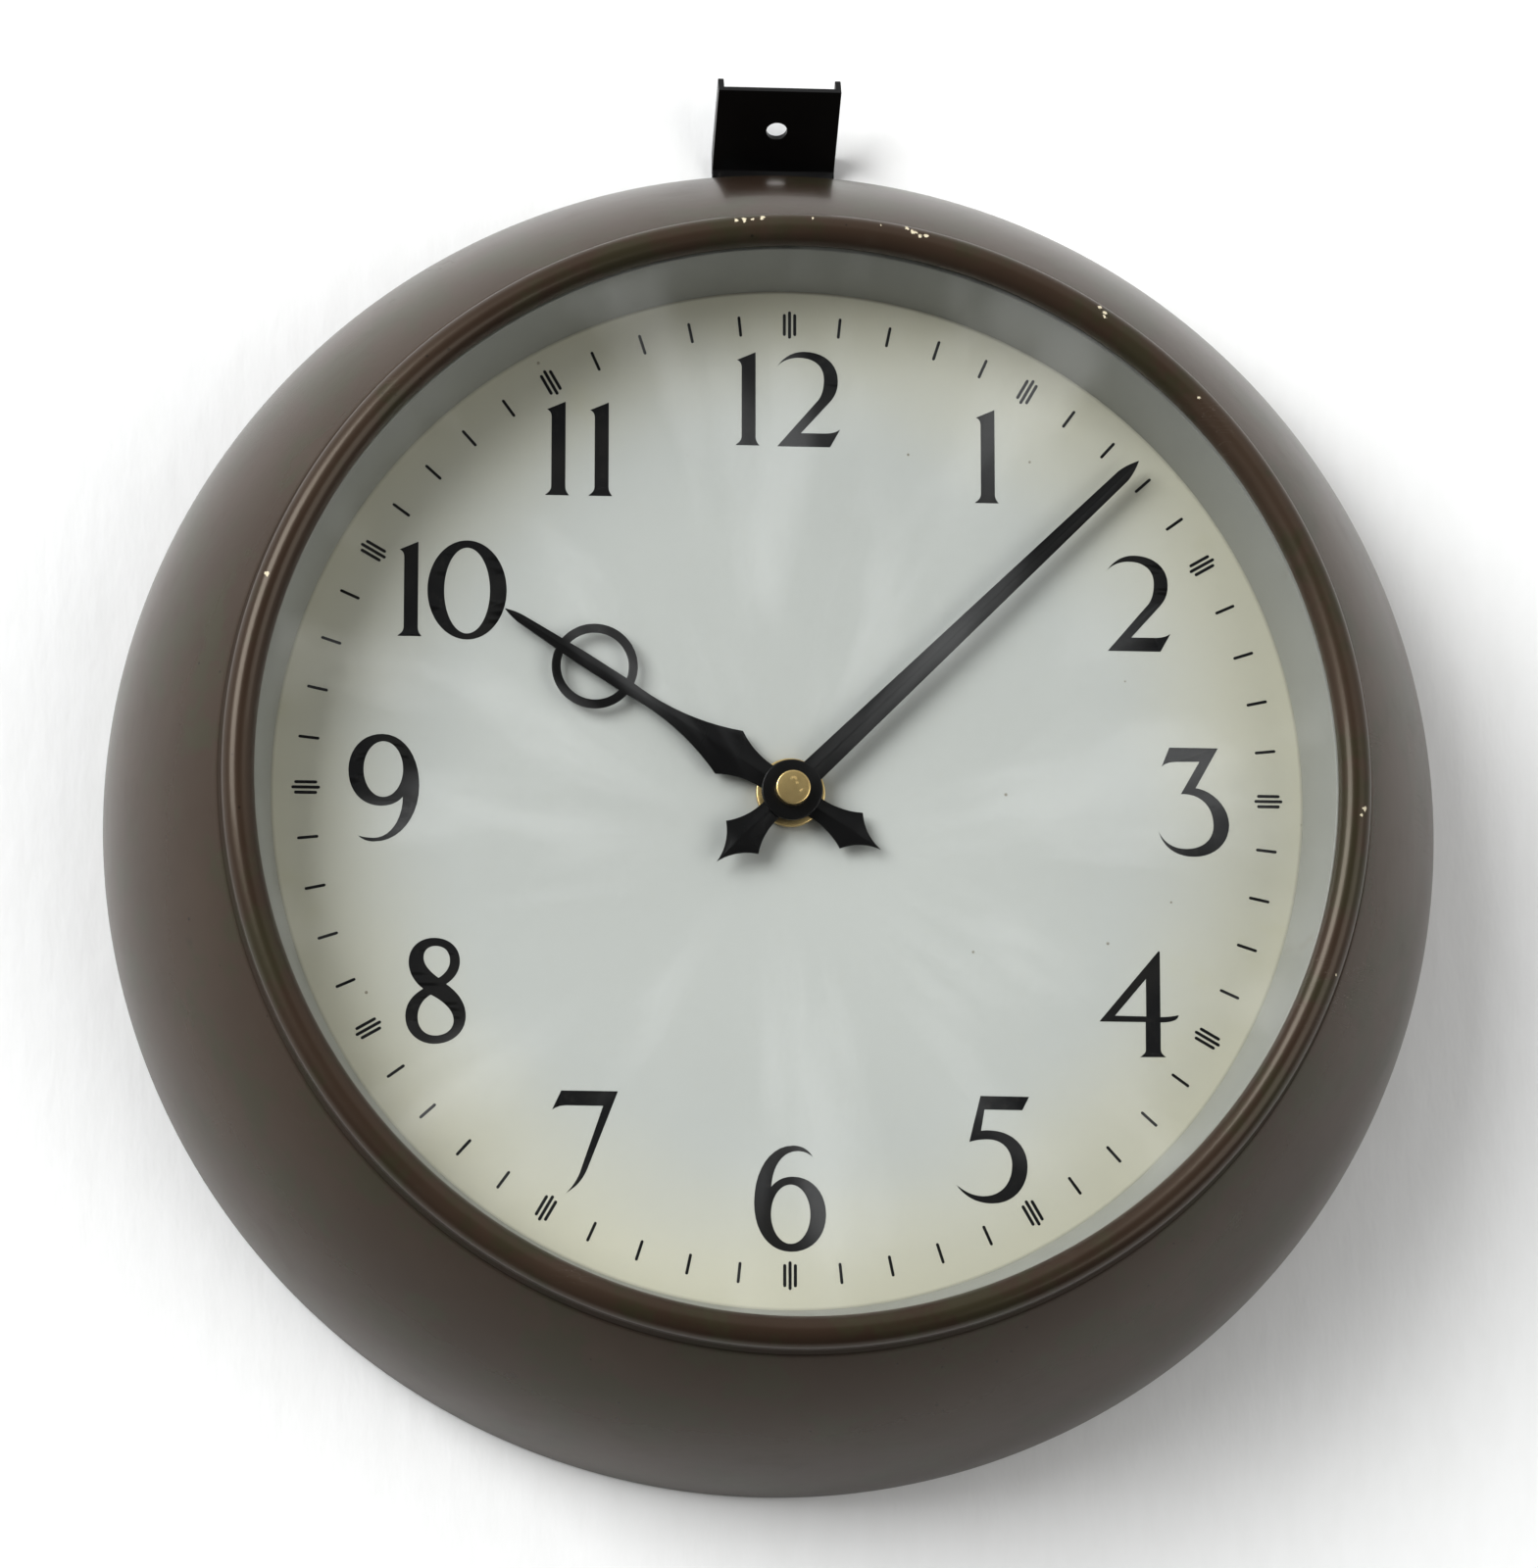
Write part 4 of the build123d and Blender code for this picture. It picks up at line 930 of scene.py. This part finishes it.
# %% Moulded, wound and covered parts
def moulded(name, base, flecked, roughness):
    """Plastic or rubber with flow marks, fine flecks and dull high spots."""
    f = Finish(name, IOR=1.5)
    flow = f.noise(55.0, 4.0, 0.6, f.stretched((1.0, 1.0, 0.4)))
    fleck = f.noise(1300.0, 2.0, 0.5).between(0.6, 0.75)
    colour = f.blend(f.blend(base, flecked, flow.between(0.4, 0.75)), flecked, fleck * 0.5)
    f.feed(base=colour, roughness=roughness + 0.18 * flow)
    f.relief(flow * 0.4 + fleck * 0.6, 0.00003, 0.4)
    return f.material


def wound_wire():
    """Coil of enamelled wire: fine ridges round the reel, lying along Z, with painted shade in the
    hollows between turns and a painted highlight on their crests.
    """
    f = Finish("copper_wire", Metallic=0.6)
    turns = f.node("ShaderNodeTexWave", {"wave_type": "BANDS", "bands_direction": "Z"},
                   {"Vector": f.place, "Scale": 1400.0, "Distortion": 0.4})
    ridge_height_and_shade = Value(f, turns.outputs["Fac"])
    shade = f.noise(60.0, 3.0, 0.6)
    # The colour follows the ridges: dark in the hollows as painted shade, bright on the crests as a
    # painted highlight.
    colour = f.blend((0.16, 0.05, 0.02), (0.42, 0.16, 0.06), ridge_height_and_shade)
    colour = f.blend(colour, (0.22, 0.08, 0.03), shade.between(0.4, 0.7) * 0.6)
    f.feed(base=colour, roughness=0.3 + 0.15 * shade)
    f.relief(ridge_height_and_shade, 0.00006, 0.8)
    return f.material


# %% Give every piece its finish
finishes = {
    "case_paint": case_enamel(), "black_paint": black_enamel(), "dial_paint": dial_paint(),
    "ring_paint": ring_paint(), "glass": pane(), "copper_wire": wound_wire(),
    "brass": metal("brass", (0.86, 0.67, 0.34), (0.76, 0.57, 0.27), (0.30, 0.20, 0.09), 0.24),
    "zinc_steel": metal("zinc_steel", (0.44, 0.45, 0.45), (0.56, 0.57, 0.56),
                        (0.20, 0.19, 0.17), 0.38),
    "polished_steel": metal("polished_steel", (0.60, 0.60, 0.60), (0.52, 0.52, 0.53),
                            (0.20, 0.14, 0.10), 0.16),
    "spring_steel": metal("spring_steel", (0.10, 0.12, 0.20), (0.18, 0.17, 0.20),
                          (0.10, 0.07, 0.05), 0.25),
    "iron": metal("iron", (0.36, 0.35, 0.34), (0.28, 0.27, 0.26), (0.14, 0.09, 0.06), 0.42),
    "phenolic": moulded("phenolic", (0.045, 0.018, 0.011), (0.10, 0.045, 0.028), 0.28),
    "wire_cover": moulded("wire_cover", (0.26, 0.018, 0.014), (0.34, 0.05, 0.04), 0.45),
    "rubber": moulded("rubber", (0.012, 0.012, 0.012), (0.045, 0.043, 0.04), 0.62),
}
slots = {part["node"]: part["material_slot"] for part in frame["record"]["subparts"]}


def paint(piece, material):
    """Make this the piece's only material."""
    piece.data.materials.clear()
    piece.data.materials.append(material)


for node, piece in frame["nodes"].items():
    paint(piece, finishes[slots[node]])
for piece in made.values():
    paint(piece, finishes[piece["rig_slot"]])
paint(made["dial_print"], printing_ink())
print("painted", len(frame["nodes"]) + len(made), "pieces")

# %% [markdown]
# ## Wall and light
# The clock hangs on a white painted wall, so the backdrop is a pale flat ring at
# the rim's plane, open behind the clock so that light reaches its back plate.
# From behind, the ring has to let the camera through, which the Backfacing value
# does.  The light is broad and soft and comes from the upper left, as from a
# window; the room behind the viewer is dimmer.

# %% Wall
def wall_paint():
    """White emulsion with roller texture on its face, clear from the back."""
    f = Finish("wall_paint", Roughness=0.75)
    roller = f.noise(160.0, 3.0, 0.6, f.stretched((1.0, 1.0, 0.35)))
    f.feed(base=f.blend((0.83, 0.83, 0.82), (0.88, 0.88, 0.875), roller))
    f.relief(roller, 0.0006, 0.30)
    clear = f.node("ShaderNodeBsdfTransparent", {}, {"Color": (1.0, 1.0, 1.0)})
    facing = f.node("ShaderNodeNewGeometry", {}, {})
    both = f.node("ShaderNodeMixShader", {},
                  {0: facing.outputs["Backfacing"], 1: f.shader.outputs[0], 2: clear.outputs[0]})
    f.set(f.output, {"Surface": both.outputs[0]})
    return f.material


WALL_HOLE, WALL_EDGE, WALL_STEPS = 0.150, 2.4, 96


def wall_points():
    """Flat ring at the rim's plane, open behind the clock so its back is lit."""
    angle = np.linspace(0, 2 * np.pi, WALL_STEPS, endpoint=False)
    ring = np.stack([np.sin(angle), 0 * angle, np.cos(angle)], -1)
    points = np.concatenate([ring * WALL_HOLE, ring * WALL_EDGE]) + (0, 0.0002, 0)
    here = np.arange(WALL_STEPS)
    there = (here + 1) % WALL_STEPS
    faces = np.stack([here, there, there + WALL_STEPS, here + WALL_STEPS], -1)
    return points.tolist(), [], faces.tolist()


wall_mesh = bpy.data.meshes.new("wall")
wall_mesh.from_pydata(*wall_points())
wall = bpy.data.objects.new("wall", wall_mesh)
bpy.context.scene.collection.objects.link(wall)
paint(wall, wall_paint())

# %% Lights
def soft_light(name, place, size, power, colour=(1.0, 1.0, 1.0)):
    """Square area light of this size, at a place, turned to the clock."""
    data = bpy.data.lights.new(name, "AREA")
    data.size, data.energy, data.color = size, power, colour
    lamp = bpy.data.objects.new(name, data)
    lamp.location = place
    lamp.rotation_euler = (-Vector(place)).to_track_quat("-Z", "Y").to_euler()
    bpy.context.scene.collection.objects.link(lamp)


soft_light("window", (-3.0, -3.3, 1.8), 2.8, 235, (0.98, 0.99, 1.0))
soft_light("fill", (2.2, -2.6, -0.6), 2.2, 36, (1.0, 0.99, 0.97))
soft_light("behind", (0.6, 2.6, 1.4), 1.8, 40)


def room_light():
    """World: bright above and behind, dark at the floor and towards the viewer."""
    world = bpy.data.worlds.new("room")
    bpy.context.scene.world = world
    world.use_nodes = True
    tree = world.node_tree
    where = tree.nodes.new("ShaderNodeTexCoord")
    parts = tree.nodes.new("ShaderNodeSeparateXYZ")
    tree.links.new(where.outputs["Generated"], parts.inputs[0])
    factors = []
    for axis, low, high, dim in (("Z", -0.6, 0.1, 0.15), ("Y", -0.95, -0.8, 0.12)):
        ramp = tree.nodes.new("ShaderNodeMapRange")
        ramp.interpolation_type = "SMOOTHSTEP"
        for name, value in zip(("From Min", "From Max", "To Min"), (low, high, dim)):
            ramp.inputs[name].default_value = value
        tree.links.new(parts.outputs[axis], ramp.inputs["Value"])
        factors.append(ramp.outputs[0])
    both = tree.nodes.new("ShaderNodeMath")
    both.operation = "MULTIPLY"
    tree.links.new(factors[0], both.inputs[0])
    tree.links.new(factors[1], both.inputs[1])
    sky = tree.nodes["Background"]
    sky.inputs["Color"].default_value = (0.90, 0.91, 0.92, 1.0)
    tree.links.new(both.outputs[0], sky.inputs["Strength"])


room_light()
DISPLAY_GAMMA = 0.82    # below 1: deepens the darks
view = bpy.context.scene.view_settings
view.view_transform, view.gamma = "Standard", DISPLAY_GAMMA
print("wall and lights ready")
